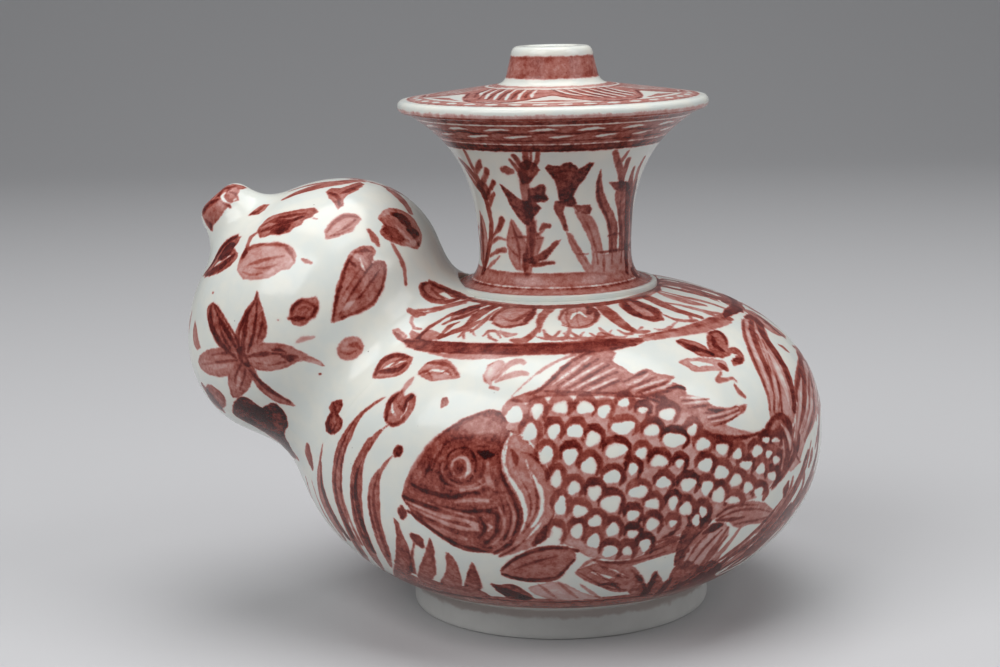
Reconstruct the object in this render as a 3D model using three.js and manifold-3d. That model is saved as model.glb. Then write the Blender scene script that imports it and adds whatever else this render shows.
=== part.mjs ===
// A kendi: a handleless vessel for water, of glazed porcelain, filled through the mouth on top of the
// neck and poured or drunk from through the swelling spout.
// It is thrown in sections that are luted together with slip: the foot ring, two halves of the belly,
// the ring and the trumpet of the neck, the mouth plate, the mouth collar, the spout and its tip.
// Millimetres, +Z up, standing on z = 0 with the spout towards -X. The origin is under the middle of
// the whole outline.
import * as THREE from "three";
import { mergeVertices } from "three/addons/utils/BufferGeometryUtils.js";
import Module from "manifold-3d";

const wasm = await Module();
wasm.setup();

// Foot ring
const footRadius = 53.7;
const footHeight = 10.4;
const footWall = 6.4;
const footBevel = 1.1;

// Belly: a keel below the widest line and a crown above it, each a quarter of a superellipse
const bellyRadius = 94.8;
const keelDrop = 61.9;
const keelPower = 2.2;
const crownRise = 54.5;
const crownPower = 2.35;
const bodyWall = 5.2;
const floorThickness = 6;
const seatBelowCrown = 3.2;

// Ring where the neck stands on the shoulder
const ringWidth = 3.3;
const ringHeight = 1.9;
const ringRounding = 0.9;

// Neck: a short flare at the bottom, a waist, and a trumpet up to the mouth plate
const neckBaseRadius = 33;
const neckWaistRadius = 27.2;
const neckWaistRise = 10.7;
const neckHeight = 60.9;
const trumpetRadius = 51.5;
const trumpetUpPull = 30;
const trumpetOutPull = 17;
const trumpetSlope = THREE.MathUtils.degToRad(33);
const neckWall = 4.3;

// Mouth plate: a low cone with a rounded lip, closed over the trumpet
const lipOverhang = 3.4;
const lipThickness = 4.6;
const plateRise = 4.6;
const plateThickness = 4.2;

// Mouth collar
const collarFootRadius = 19.5;
const collarRadius = 15.9;
const collarTopRadius = 11.8;
const collarHeight = 13.2;
const collarShoulder = 3.6;
const mouthBore = 8.6;
const mouthRounding = 0.9;

// Spout: a bulb, flattened along its own axis and luted to the shoulder with a fillet of slip round it
const bulbAcross = 51.3;
const bulbAlong = 41;
const bulbElevation = THREE.MathUtils.degToRad(46);
const bulbFromNeck = 49.8;
const bulbRise = 44.7;
const bulbWall = 5;
const slipFillet = 17.8;
const slipEdge = 1;
const passageRadius = 10;

// Tip of the spout: a nipple drawn up from the bulb with a soft valley round it
const tipElevation = THREE.MathUtils.degToRad(49.7);
const tipReach = 54.2;
const tipRadius = 9.2;
const tipTaper = 0.23;
const tipRounding = 6;
const tipFillet = 8.7;
const tipLength = 7.7;
const tipBore = 3.6;
const tipBoreFlare = 0.9;

// Clearance between luted faces that are curved or turned
const lutingGap = 0.3;

// Facets
const bodySegments = 56;
const neckSegments = 44;
const collarSegments = 32;
const boreSegments = 20;
const skinSegments = 40;
const skinRings = 26;
const hollowSegments = 28;
const curveSteps = 8;

// Heights that follow from the sizes above
const bellyHeight = footHeight + keelDrop * superellipse(footRadius / bellyRadius, keelPower);
const crownTop = bellyHeight + crownRise;
const seatHeight = crownTop - seatBelowCrown;
const ringTop = seatHeight + ringHeight;
const waistHeight = ringTop + neckWaistRise;
const neckTop = ringTop + neckHeight;
const plateRadius = trumpetRadius + lipOverhang;
const lipTop = neckTop + lipThickness;
const collarSeat = lipTop + plateRise;
const mouthHeight = collarSeat + collarHeight;
const ringRadius = neckBaseRadius + ringWidth;
const neckBore = neckWaistRadius - neckWall;

// Spout frame: the bulb's centre, its own axis, the axis of the tip, and a point inside the shoulder
// from which the whole skin of the spout can be seen
const bulbCentre = new THREE.Vector3(-ringRadius - bulbFromNeck, 0, bellyHeight + bulbRise);
const bulbAxis = leaning(bulbElevation);
const tipAxis = leaning(tipElevation);
const tipSeam = tipReach - tipLength;
const skinEye = bulbCentre.clone().addScaledVector(tipAxis, -bulbAlong);

// Direction that points to the spout's side and up at an angle.
function leaning(elevation) {
  return new THREE.Vector3(-Math.cos(elevation), 0, Math.sin(elevation));
}

// Height of a superellipse of unit size at a share of its half width.
function superellipse(share, power) {
  return (1 - Math.min(share, 1) ** power) ** (1 / power);
}

function point(x, y) {
  return new THREE.Vector2(x, y);
}

// Points of a quarter of the belly from one radius to another, grown outwards by an allowance.
function bellyCurve(from, to, rise, power, grow, steps) {
  const width = bellyRadius + grow;
  const a = Math.asin(Math.min(from / width, 1));
  const b = Math.asin(Math.min(to / width, 1));
  const points = [];
  for (let i = 0; i <= steps; i++) {
    const radius = width * Math.sin(a + ((b - a) * i) / steps);
    const height = (Math.abs(rise) + grow) * superellipse(radius / width, power);
    points.push(point(radius, bellyHeight + Math.sign(rise) * height));
  }
  return points;
}

// Radius of the crown's surface at a height, grown outwards by an allowance.
function crownRadiusAt(height, grow) {
  return (bellyRadius + grow) * superellipse((height - bellyHeight) / (crownRise + grow), crownPower);
}

// A solid turned about Z from a closed profile of (radius, height) points.
function turn(profile, segments) {
  const closed = profile[0].x === 0 ? profile : [...profile, profile[0]];
  return new THREE.LatheGeometry(closed, segments).rotateX(Math.PI / 2);
}

// Conversions between three.js geometry and solids that can be joined and cut.
function toSolid(geometry) {
  const bare = geometry.clone();
  bare.deleteAttribute("normal");
  bare.deleteAttribute("uv");
  const merged = mergeVertices(bare, 1e-3);
  return new wasm.Manifold(
    new wasm.Mesh({
      numProp: 3,
      vertProperties: new Float32Array(merged.attributes.position.array),
      triVerts: new Uint32Array(merged.index.array),
    }),
  );
}

function toGeometry(solid) {
  const mesh = solid.getMesh();
  const geometry = new THREE.BufferGeometry();
  geometry.setAttribute("position", new THREE.BufferAttribute(mesh.vertProperties, 3));
  geometry.setIndex(new THREE.BufferAttribute(mesh.triVerts, 1));
  return geometry;
}

// Places a geometry that is modelled along Z so that it stands on the bulb's centre along an axis.
function alongAxis(geometry, axis) {
  const turnToAxis = new THREE.Quaternion().setFromUnitVectors(new THREE.Vector3(0, 0, 1), axis);
  return geometry.applyQuaternion(turnToAxis).translate(bulbCentre.x, bulbCentre.y, bulbCentre.z);
}

function footRing() {
  const inner = footRadius - footWall;
  return turn(
    [
      point(inner + footBevel, 0),
      point(footRadius - footBevel, 0),
      point(footRadius, footBevel),
      point(footRadius, footHeight),
      point(inner - footBevel, footHeight),
      point(inner, footBevel),
    ],
    bodySegments,
  );
}

function lowerBody() {
  const outside = bellyCurve(footRadius, bellyRadius, -keelDrop, keelPower, 0, curveSteps);
  const floor = footHeight + floorThickness;
  const depth = bellyHeight - floor;
  const innerRadius = bellyRadius - bodyWall;
  const inside = [];
  for (let i = 0; i <= curveSteps; i++) {
    const radius = innerRadius * Math.cos((i * Math.PI) / 2 / curveSteps);
    inside.push(point(radius, bellyHeight - depth * superellipse(radius / innerRadius, keelPower)));
  }
  inside[curveSteps] = point(0, floor);
  return turn([point(0, footHeight), ...outside, ...inside], bodySegments);
}

function upperBodySolid() {
  const seatRadius = crownRadiusAt(seatHeight, 0);
  const outside = bellyCurve(bellyRadius, seatRadius, crownRise, crownPower, 0, curveSteps);
  const inside = bellyCurve(neckBore, bellyRadius - bodyWall, crownRise, crownPower, -bodyWall, curveSteps);
  const shell = toSolid(turn([...outside, point(neckBore, seatHeight), ...inside], bodySegments));
  const drill = new THREE.CylinderGeometry(passageRadius, passageRadius, bulbAcross, boreSegments);
  drill.rotateX(Math.PI / 2).translate(0, 0, -bulbAcross / 2);
  return shell.subtract(toSolid(alongAxis(drill, tipAxis)));
}

function neckRing() {
  const edge = new THREE.Path();
  edge.moveTo(neckBore, seatHeight);
  edge.lineTo(ringRadius, seatHeight);
  edge.lineTo(ringRadius, ringTop - ringRounding);
  edge.quadraticCurveTo(ringRadius, ringTop, ringRadius - ringRounding, ringTop);
  edge.lineTo(neckBore, ringTop);
  return turn(edge.getPoints(3), neckSegments);
}

// The neck's outer line from its foot up to the trumpet's rim.
function neckOutline() {
  const line = new THREE.Path();
  line.moveTo(neckBaseRadius, ringTop);
  line.quadraticCurveTo(neckWaistRadius, ringTop + ringHeight, neckWaistRadius, waistHeight);
  line.bezierCurveTo(
    neckWaistRadius,
    waistHeight + trumpetUpPull,
    trumpetRadius - trumpetOutPull * Math.cos(trumpetSlope),
    neckTop - trumpetOutPull * Math.sin(trumpetSlope),
    trumpetRadius,
    neckTop,
  );
  return line.getPoints(curveSteps);
}

// The same line moved inwards by the wall, from the rim down to the bore.
function neckInline(outline) {
  const inline = [];
  for (let i = outline.length - 1; i > 0; i--) {
    const along = outline[i].clone().sub(outline[i - 1]).normalize();
    const moved = point(outline[i].x - along.y * neckWall, outline[i].y + along.x * neckWall);
    if (moved.y >= neckTop) continue;
    if (!inline.length) {
      const rim = moved.clone().addScaledVector(along, (neckTop - moved.y) / along.y);
      inline.push(point(rim.x, neckTop));
    }
    if (moved.y > waistHeight) inline.push(moved);
  }
  inline.push(point(neckBore, waistHeight), point(neckBore, ringTop));
  return inline;
}

function neck() {
  const outline = neckOutline();
  return turn([...outline, ...neckInline(outline)], neckSegments);
}

function mouthPlate() {
  const section = new THREE.Path();
  const half = lipThickness / 2;
  section.moveTo(trumpetRadius - neckWall * 2, neckTop);
  section.lineTo(trumpetRadius, neckTop);
  section.quadraticCurveTo(plateRadius, neckTop, plateRadius, neckTop + half);
  section.quadraticCurveTo(plateRadius, lipTop, plateRadius - half, lipTop);
  section.lineTo(collarFootRadius, collarSeat);
  section.lineTo(mouthBore, collarSeat);
  section.lineTo(mouthBore, collarSeat - plateThickness);
  return turn(section.getPoints(3), bodySegments);
}

function mouthCollar() {
  const section = new THREE.Path();
  const shoulder = mouthHeight - collarShoulder;
  section.moveTo(mouthBore, collarSeat);
  section.lineTo(collarFootRadius, collarSeat);
  section.quadraticCurveTo(collarRadius + 0.6, collarSeat + 0.6, collarRadius, collarSeat + collarHeight / 3);
  section.lineTo(collarRadius - 1.3, shoulder);
  section.quadraticCurveTo(collarRadius - 1.6, mouthHeight, collarTopRadius, mouthHeight);
  section.lineTo(mouthBore + mouthRounding, mouthHeight);
  section.lineTo(mouthBore, mouthHeight - mouthRounding);
  return turn(section.getPoints(4), collarSegments);
}

// Distance to the belly's surface, to first order: negative inside.
function bellyDistance(p) {
  const up = p.z > bellyHeight;
  const power = up ? crownPower : keelPower;
  const height = up ? crownRise : keelDrop;
  const r = Math.hypot(p.x, p.y) / bellyRadius;
  const z = Math.abs(p.z - bellyHeight) / height;
  const sum = r ** power + z ** power;
  const steepness = sum ** (1 / power - 1);
  const slope = Math.hypot((r ** (power - 1) / bellyRadius) * steepness, (z ** (power - 1) / height) * steepness);
  return (sum ** (1 / power) - 1) / slope;
}

// Distance to the flattened bulb, to first order.
function bulbDistance(p) {
  const out = p.clone().sub(bulbCentre);
  const along = out.dot(bulbAxis);
  const across = Math.sqrt(Math.max(out.lengthSq() - along * along, 0));
  const size = Math.hypot(along / bulbAlong, across / bulbAcross);
  const slope = Math.hypot(along / bulbAlong ** 2, across / bulbAcross ** 2) / size;
  return (size - 1) / slope;
}

// Distance to the nipple: a tapering stem with a rounded end.
function tipDistance(p) {
  const out = p.clone().sub(bulbCentre);
  const along = out.dot(tipAxis);
  const across = Math.sqrt(Math.max(out.lengthSq() - along * along, 0));
  const side = across - tipRadius - tipTaper * (tipReach - along);
  return -blend(-side, tipReach - along, tipRounding);
}

// The smaller of two distances, rounded where they are nearly alike.
function blend(a, b, rounding) {
  const near = Math.max(rounding - Math.abs(a - b), 0) / rounding;
  return Math.min(a, b) - (near * near * rounding) / 4;
}

function spoutDistance(p) {
  return blend(blend(bulbDistance(p), tipDistance(p), tipFillet), bellyDistance(p), slipFillet);
}

// Where a ray from inside the shoulder leaves the joined form, by halving.
function skinPoint(direction) {
  let inside = 0;
  let outside = bulbAcross * 3;
  for (let i = 0; i < 30; i++) {
    const middle = (inside + outside) / 2;
    if (spoutDistance(skinEye.clone().addScaledVector(direction, middle)) < 0) inside = middle;
    else outside = middle;
  }
  return skinEye.clone().addScaledVector(direction, inside);
}

// One line of the skin from the middle of the tip out to the edge of the slip.
function skinLine(turned) {
  const side = new THREE.Vector3(0, 1, 0);
  const up = side.clone().cross(tipAxis);
  const away = up.multiplyScalar(Math.cos(turned)).addScaledVector(side, Math.sin(turned));
  const at = (angle) =>
    skinPoint(tipAxis.clone().multiplyScalar(Math.cos(angle)).addScaledVector(away, Math.sin(angle)));
  let low = Math.PI / 6;
  let high = Math.PI * 0.8;
  for (let i = 0; i < 20; i++) {
    const middle = (low + high) / 2;
    if (bellyDistance(at(middle)) > slipEdge) low = middle;
    else high = middle;
  }
  const fine = skinRings * 5;
  return evenly(Array.from({ length: fine + 1 }, (unused, i) => at((low * i) / fine)));
}

// Picks points from a fine line so that each step has the same share of length and of bending.
function evenly(line) {
  const run = [0];
  for (let i = 1; i < line.length; i++) {
    const step = line[i].clone().sub(line[i - 1]);
    const before = i > 1 ? line[i - 1].clone().sub(line[i - 2]) : step;
    run.push(run[i - 1] + step.length() / bulbAlong + step.angleTo(before));
  }
  const picked = [line[0]];
  for (let i = 1, j = 0; i < skinRings; i++) {
    while (run[j] < (run[run.length - 1] * i) / skinRings) j++;
    picked.push(line[j]);
  }
  return [...picked, line[line.length - 1]];
}

// The bulb with its tip and its slip as one form, closed inside the shoulder.
function spoutForm() {
  const positions = [...skinLine(0)[0].toArray(), ...skinEye.toArray()];
  for (let j = 0; j < skinSegments; j++) {
    const line = skinLine((j * 2 * Math.PI) / skinSegments);
    line.slice(1).forEach((p) => positions.push(p.x, p.y, p.z));
  }
  const faces = [];
  for (let j = 0; j < skinSegments; j++) {
    const a = 2 + j * skinRings;
    const b = 2 + ((j + 1) % skinSegments) * skinRings;
    faces.push(0, a, b);
    for (let i = 0; i < skinRings - 1; i++) {
      faces.push(a + i, a + i + 1, b + i, b + i, a + i + 1, b + i + 1);
    }
    faces.push(a + skinRings - 1, 1, b + skinRings - 1);
  }
  const geometry = new THREE.BufferGeometry();
  geometry.setAttribute("position", new THREE.Float32BufferAttribute(positions, 3));
  geometry.setIndex(faces);
  return toSolid(geometry);
}

// The thrown inside of the bulb with the bore through the tip.
function spoutHollow() {
  const room = new THREE.SphereGeometry(1, hollowSegments, hollowSegments / 2).rotateX(Math.PI / 2);
  room.scale(bulbAcross - bulbWall, bulbAcross - bulbWall, bulbAlong - bulbWall);
  const bore = turn(
    [
      point(0, 0),
      point(tipBore, 0),
      point(tipBore, tipReach - tipBoreFlare * 2),
      point(tipBore + tipBoreFlare, tipReach + tipRounding),
      point(0, tipReach + tipRounding),
    ],
    boreSegments,
  );
  return toSolid(alongAxis(room, bulbAxis)).add(toSolid(alongAxis(bore, tipAxis)));
}

// All that lies on the tip's side of a plane across its axis.
function beyond(distance) {
  const block = new THREE.BoxGeometry(tipReach, tipReach, tipReach);
  return toSolid(alongAxis(block.translate(0, 0, distance + tipReach / 2), tipAxis));
}

// The room that the belly, the neck ring and the neck need, with the luting gap all round.
function keepOut() {
  const belly = bellyCurve(bellyRadius + lutingGap, 0, crownRise, crownPower, lutingGap, curveSteps * 2);
  const keel = bellyCurve(0, bellyRadius + lutingGap, -keelDrop, keelPower, lutingGap, curveSteps * 2);
  const room = toSolid(turn([...keel, ...belly.slice(1)], bodySegments));
  const collar = toSolid(
    turn(
      [
        point(0, bellyHeight),
        point(ringRadius + lutingGap, bellyHeight),
        point(ringRadius + lutingGap, ringTop + lutingGap),
        ...neckOutline().map((p) => point(p.x + lutingGap, p.y + lutingGap)),
        point(0, neckTop + lutingGap),
      ],
      neckSegments,
    ),
  );
  return room.add(collar);
}

function largest(solid) {
  return solid.decompose().sort((a, b) => b.volume() - a.volume())[0];
}

function spoutBulb() {
  return toGeometry(largest(spout.subtract(beyond(tipSeam)).subtract(keepOut())));
}

function spoutTip() {
  return toGeometry(spout.intersect(beyond(tipSeam)));
}

const glaze = { color: 0xdfe3df, roughness: 0.14, metalness: 0 };
const bareClay = { color: 0xd6d2c9, roughness: 0.62, metalness: 0 };

function piece(name, geometry, finish) {
  const mesh = new THREE.Mesh(geometry, new THREE.MeshStandardMaterial(finish));
  mesh.name = name;
  return mesh;
}

const spout = spoutForm().subtract(spoutHollow());
const kendi = new THREE.Group();
kendi.add(
  piece("foot_ring", footRing(), bareClay),
  piece("lower_body", lowerBody(), glaze),
  piece("upper_body", toGeometry(upperBodySolid()), glaze),
  piece("neck_ring", neckRing(), glaze),
  piece("neck", neck(), glaze),
  piece("mouth_plate", mouthPlate(), glaze),
  piece("mouth_collar", mouthCollar(), glaze),
  piece("spout_bulb", spoutBulb(), glaze),
  piece("spout_tip", spoutTip(), glaze),
);

// The origin goes under the middle of the outline, at the foot.
const outline = new THREE.Box3().setFromObject(kendi);
kendi.position.x = -(outline.min.x + outline.max.x) / 2;

export default kendi;
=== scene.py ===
import math

import bpy
import numpy as np
from mathutils import Matrix, Vector
from mathutils.bvhtree import BVHTree


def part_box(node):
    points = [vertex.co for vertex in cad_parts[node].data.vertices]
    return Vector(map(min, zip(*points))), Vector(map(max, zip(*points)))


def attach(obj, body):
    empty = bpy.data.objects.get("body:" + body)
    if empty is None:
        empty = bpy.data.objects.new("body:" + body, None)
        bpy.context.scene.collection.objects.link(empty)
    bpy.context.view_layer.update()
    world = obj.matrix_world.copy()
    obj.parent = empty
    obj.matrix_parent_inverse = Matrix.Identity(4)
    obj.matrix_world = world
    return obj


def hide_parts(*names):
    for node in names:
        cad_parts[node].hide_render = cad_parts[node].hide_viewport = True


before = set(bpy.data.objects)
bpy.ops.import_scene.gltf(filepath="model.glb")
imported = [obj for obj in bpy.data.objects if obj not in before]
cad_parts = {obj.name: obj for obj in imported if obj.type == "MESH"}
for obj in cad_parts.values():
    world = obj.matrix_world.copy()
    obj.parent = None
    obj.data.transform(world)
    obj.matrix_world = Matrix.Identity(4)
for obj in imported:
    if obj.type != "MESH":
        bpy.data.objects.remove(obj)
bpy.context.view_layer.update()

MM = 0.001


def middle_of(node):
    """The middle of a CAD node's box, in millimetres."""
    low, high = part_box(node)
    return (np.array(low) + np.array(high)) / 2 / MM


def heights_of(node):
    """The lowest and highest height of a CAD node, in millimetres."""
    low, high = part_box(node)
    return low[2] / MM, high[2] / MM


def radius_of(node):
    """Half the depth of a turned CAD node, in millimetres."""
    low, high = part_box(node)
    return (high[1] - low[1]) / 2 / MM


# Sizes in millimetres, measured from the pot's upright axis and the table
AXIS = middle_of("foot_ring")[0]

FOOT_RADIUS = radius_of("foot_ring")
FOOT_HEIGHT = heights_of("foot_ring")[1]
FOOT_WALL = 6.4
FOOT_ROUNDING = 1.1

BELLY_RADIUS = radius_of("lower_body")
BELLY_HEIGHT, SEAT_HEIGHT = heights_of("upper_body")
KEEL_DROP = 61.9
KEEL_POWER = 2.2
CROWN_RISE = 54.5
CROWN_POWER = 2.35
BODY_WALL = 5.2
FLOOR_HEIGHT = 17

RING_TOP = heights_of("neck_ring")[1]
RING_RADIUS = radius_of("neck_ring")
RING_ROUNDING = 0.9

NECK_TOP = heights_of("neck")[1]
NECK_BASE_RADIUS = 33
NECK_WAIST_RADIUS = 27.2
NECK_FOOT_PULL = 1.9
WAIST_HEIGHT = RING_TOP + 10.7
TRUMPET_RADIUS = radius_of("neck")
TRUMPET_UP_PULL = 30
TRUMPET_OUT_PULL = 17
TRUMPET_SLOPE = math.radians(33)
NECK_WALL = 4.3

PLATE_RADIUS = radius_of("mouth_plate")
COLLAR_SEAT, MOUTH_HEIGHT = heights_of("mouth_collar")
LIP_THICKNESS = 4.6
LIP_TOP = NECK_TOP + LIP_THICKNESS
LIP_CROWN_RADIUS = PLATE_RADIUS - LIP_THICKNESS / 2
PLATE_THICKNESS = 4.2
COLLAR_FOOT_RADIUS = radius_of("mouth_collar")
COLLAR_WAIST_RADIUS = 15.9
COLLAR_SHOULDER_RADIUS = 14.6
COLLAR_TOP_RADIUS = 11.8
COLLAR_SHOULDER = 3.6
COLLAR_FOOT_FILLET = 0.6
COLLAR_SHOULDER_PULL = 0.3
BORE_RADIUS = 8.6
BORE_ROUNDING = 1.4

BULB_ACROSS = 51.3
BULB_ALONG = 41
BULB_TILT = math.radians(46)
BULB_FROM_AXIS = RING_RADIUS + 49.8
BULB_HEIGHT = BELLY_HEIGHT + 44.7
SLIP_FILLET = 17.8
TIP_TILT = math.radians(49.7)
TIP_REACH = 54.2
TIP_RADIUS = 9.2
TIP_TAPER = 0.23
TIP_ROUNDING = 6
TIP_FILLET = 8.7
TIP_LENGTH = 7.7
TIP_BORE = 3.6
TIP_BORE_DEPTH = 16
BULB_CORE = 12

# The photograph's viewpoint, in millimetres and degrees, its frame in pixels, and the nearest distance
# that the camera shows, in metres
VIEW_DISTANCE = 700
VIEW_HEIGHT = 229.9
VIEW_PITCH = math.radians(10.72)
VIEW_YAW = math.radians(-1.67)
VIEW_ROLL = math.radians(-1.28)
FOCAL_PIXELS = 1973
FRAME_WIDTH = 1000
FRAME_HEIGHT = 667
SENSOR_WIDTH = 36
NEAREST_SEEN = 0.02

# How finely the pieces are drawn, in millimetres and counts. Faces within a reach of a mark's edge are
# halved, once for each pair of a reach and the far side's lag
BELLY_REACHES = ((0.95, 0.4), (0.5, 1))
SPOUT_REACHES = ((0.7, 0.3), (0.35, 1))
NECK_REACHES = ((0.8, 0.3), (0.4, 1))
PLATE_REACHES = ((0.8, 0), (0.4, 0))
CURVE_POINTS = 40
FLARE_POINTS = 120
BELLY_POINTS = 400
FOOT_SPACING = 1.0
BELLY_SPACING = 1.6
LEDGE_SPACING = 0.7
NECK_SPACING = 1.2
NECK_SPUN_AT = 36
PLATE_SPACING = 1.2
COLLAR_SPACING = 0.6
MOST_TRIANGLES = 190000
TRIANGLES_A_CUT = 8

# The spout's skin: its turns and rings, how its rays are followed from the eye to the surface, and how its
# edge runs out and sinks into the belly
BULB_TURNS = 300
BULB_RINGS = 112
SEAM_RING = 5
SKIN_STEPS = 90
SKIN_STRIDE = 0.85
SKIN_START = 8.0
SKIN_RUN_OUT = 0.03
SKIN_NARROWEST = 30
SKIN_WIDEST = 103
SKIN_INSET = 0.05
INSET_UNTIL = 1.3
INSET_FADE = 0.25
SKIN_PROUD = 0.05
EASE_FROM = 0.55
EASE_OVER = 0.45
EASE_DEPTH = 1.2
SINK_RINGS = (-1.5, 0, 1, 2, 3)
SINK_DEPTHS = (0, 0.4, 3, 12, 30)
EDGE_TURNS = 181
EDGE_WINDOW = 7
SEAM_WIDEST = 0.4
SEAM_HALVINGS = 24

# The nipple: its turns, the steps of its section, and its mouth's rounding from the rim inwards
TIP_TURNS = 90
TIP_SECTION = 24
TIP_MOUTH_STEPS = 7
MOUTH_PLACES = (0, 1, 2, 3, 5, 6)
MOUTH_FLARE = (0, 0.55, 0.1, 0, 0, 0)
MOUTH_DEPTHS = (0, 0.15, 0.8, 1.6, TIP_LENGTH, TIP_LENGTH + 0.5)

# The painting: counts round the pot, distances in millimetres at which marks are felt, and the scales' arcs
# in degrees and pixels
SCROLLS = 18
PETALS = 6
LINE_STEP = 4
FAR = 3.4
SLANT_LIMIT = 3
SIDE_OVERLAP = 12
LINE_TONE = 0.8
WASH_TONE = 0.5
RING_TONE_REACH = 0.3
ARC_OUT_ACROSS = 3
ARC_OUT_DOWN = 3.4
DARKEST_ACROSS = 650
DARK_SPREAD = 60
BACK_DOWN = (400, 440)
SCALE_ARC = (-190, -150, -110, -70, -30, 10, 50)
ARC_WIDTHS = (2, 6.5, 9, 8.5, 6, 3)
ARC_TONES = (0.7, 0.96, 0.8, 1.02, 0.62, 0.9, 1.08, 0.76)

# Colours, in linear light, and how far apart the iron spots may lie, in millimetres
GLAZE_COOL = (0.60, 0.63, 0.60, 1)
GLAZE_WARM = (0.66, 0.66, 0.60, 1)
SPOT_SPACING = 7
IRON_SPOT = (0.06, 0.03, 0.02, 1)
COPPER_REDS = [
    (0.0, (0.62, 0.55, 0.50)),
    (0.16, (0.54, 0.35, 0.325)),
    (0.36, (0.39, 0.155, 0.128)),
    (0.56, (0.25, 0.053, 0.037)),
    (0.76, (0.12, 0.012, 0.008)),
    (0.9, (0.050, 0.003, 0.002)),
    (1.0, (0.020, 0.002, 0.002)),
]
CLAY_PALE = (0.60, 0.60, 0.58, 1)
CLAY_DULL = (0.56, 0.56, 0.54, 1)
CLAY_STAIN = (0.44, 0.40, 0.35, 1)
# A darker brown on the foot's top: partly a wash, partly painted shade under the belly
CLAY_WASH_AND_SHADE = (0.26, 0.15, 0.12, 1)
PAPER_GREY = (0.48, 0.48, 0.49, 1)
AIR_GREY = (0.78, 0.8, 0.84, 1)

# The studio, in metres, and how brightly its air glows
FLOOR_SIDE = 6
WALL_RISE = 4
WALL_BEND = 1.5
BEND_STEPS = 24
AIR_GLOW = 0.17

# Brush marks as read off the picture, in its pixels, each point across and then down. Washes are
# (tone, outline), lines are (tone, widths along the stroke, points), spared places show bare glaze in a
# wash and are (widths, points), and paler strokes are (share of the paint missing, widths, points)
FISH_WASHES = [
    (0.78, [402, 497, 404, 487, 411, 470, 420, 456, 432, 442, 446, 430, 462, 420, 480, 412, 496, 410,
     506, 418, 511, 431, 504, 445, 501, 460, 503, 473, 509, 486, 516, 500, 520, 515, 517, 531, 508, 545,
     494, 553, 478, 551, 460, 546, 444, 538, 428, 528, 415, 519, 409, 508]),
    (0.42, [513, 434, 525, 440, 537, 452, 547, 467, 553, 482, 556, 500, 554, 515, 549, 528, 543, 541,
     531, 548, 515, 553, 498, 557, 510, 544, 520, 530, 522, 514, 516, 498, 508, 484, 503, 470, 503, 455,
     507, 443]),
    (0.32, [505, 428, 515, 419, 530, 412, 548, 406, 570, 402, 598, 400, 625, 398, 645, 399, 665, 404,
     690, 410, 712, 418, 735, 428, 757, 433, 776, 430, 785, 440, 788, 455, 781, 470, 771, 484, 762, 495,
     740, 504, 718, 517, 698, 528, 678, 535, 655, 545, 640, 556, 618, 560, 590, 557, 575, 549, 560, 541,
     551, 528, 556, 512, 556, 495, 551, 478, 545, 462, 536, 448, 525, 437, 514, 432]),
    (0.5, [510, 400, 522, 394, 540, 388, 552, 379, 562, 368, 575, 359, 590, 352, 606, 350, 617, 353,
     612, 360, 622, 366, 634, 374, 646, 368, 656, 373, 676, 377, 664, 384, 684, 386, 686, 394, 705, 398,
     712, 405, 730, 408, 747, 404, 744, 412, 735, 418, 720, 425, 705, 424, 690, 414, 668, 407, 645, 399,
     615, 397, 580, 396, 545, 397, 525, 403]),
    (0.42, [702, 424, 716, 430, 735, 436, 752, 434, 765, 428, 771, 418, 779, 412, 787, 416, 792, 428,
     790, 444, 794, 458, 801, 462, 790, 470, 780, 482, 771, 490, 778, 470, 781, 455, 776, 446, 769, 438,
     758, 436, 742, 438, 725, 438, 708, 436]),
    (0.4, [716, 510, 730, 504, 745, 501, 762, 502, 772, 508, 776, 514, 768, 522, 752, 524, 738, 528,
     728, 522, 720, 520]),
    (0.28, [680, 533, 697, 528, 712, 524, 726, 523, 729, 532, 722, 545, 712, 560, 704, 575, 690, 583,
     676, 574, 682, 560, 684, 545]),
    (0.55, [500, 572, 508, 562, 520, 555, 536, 550, 552, 547, 568, 549, 577, 555, 570, 566, 560, 576,
     545, 580, 525, 581, 508, 578]),
    (0.5, [575, 572, 588, 566, 604, 562, 622, 562, 636, 568, 640, 578, 632, 590, 615, 592, 598, 586,
     584, 580]),
]
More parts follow.
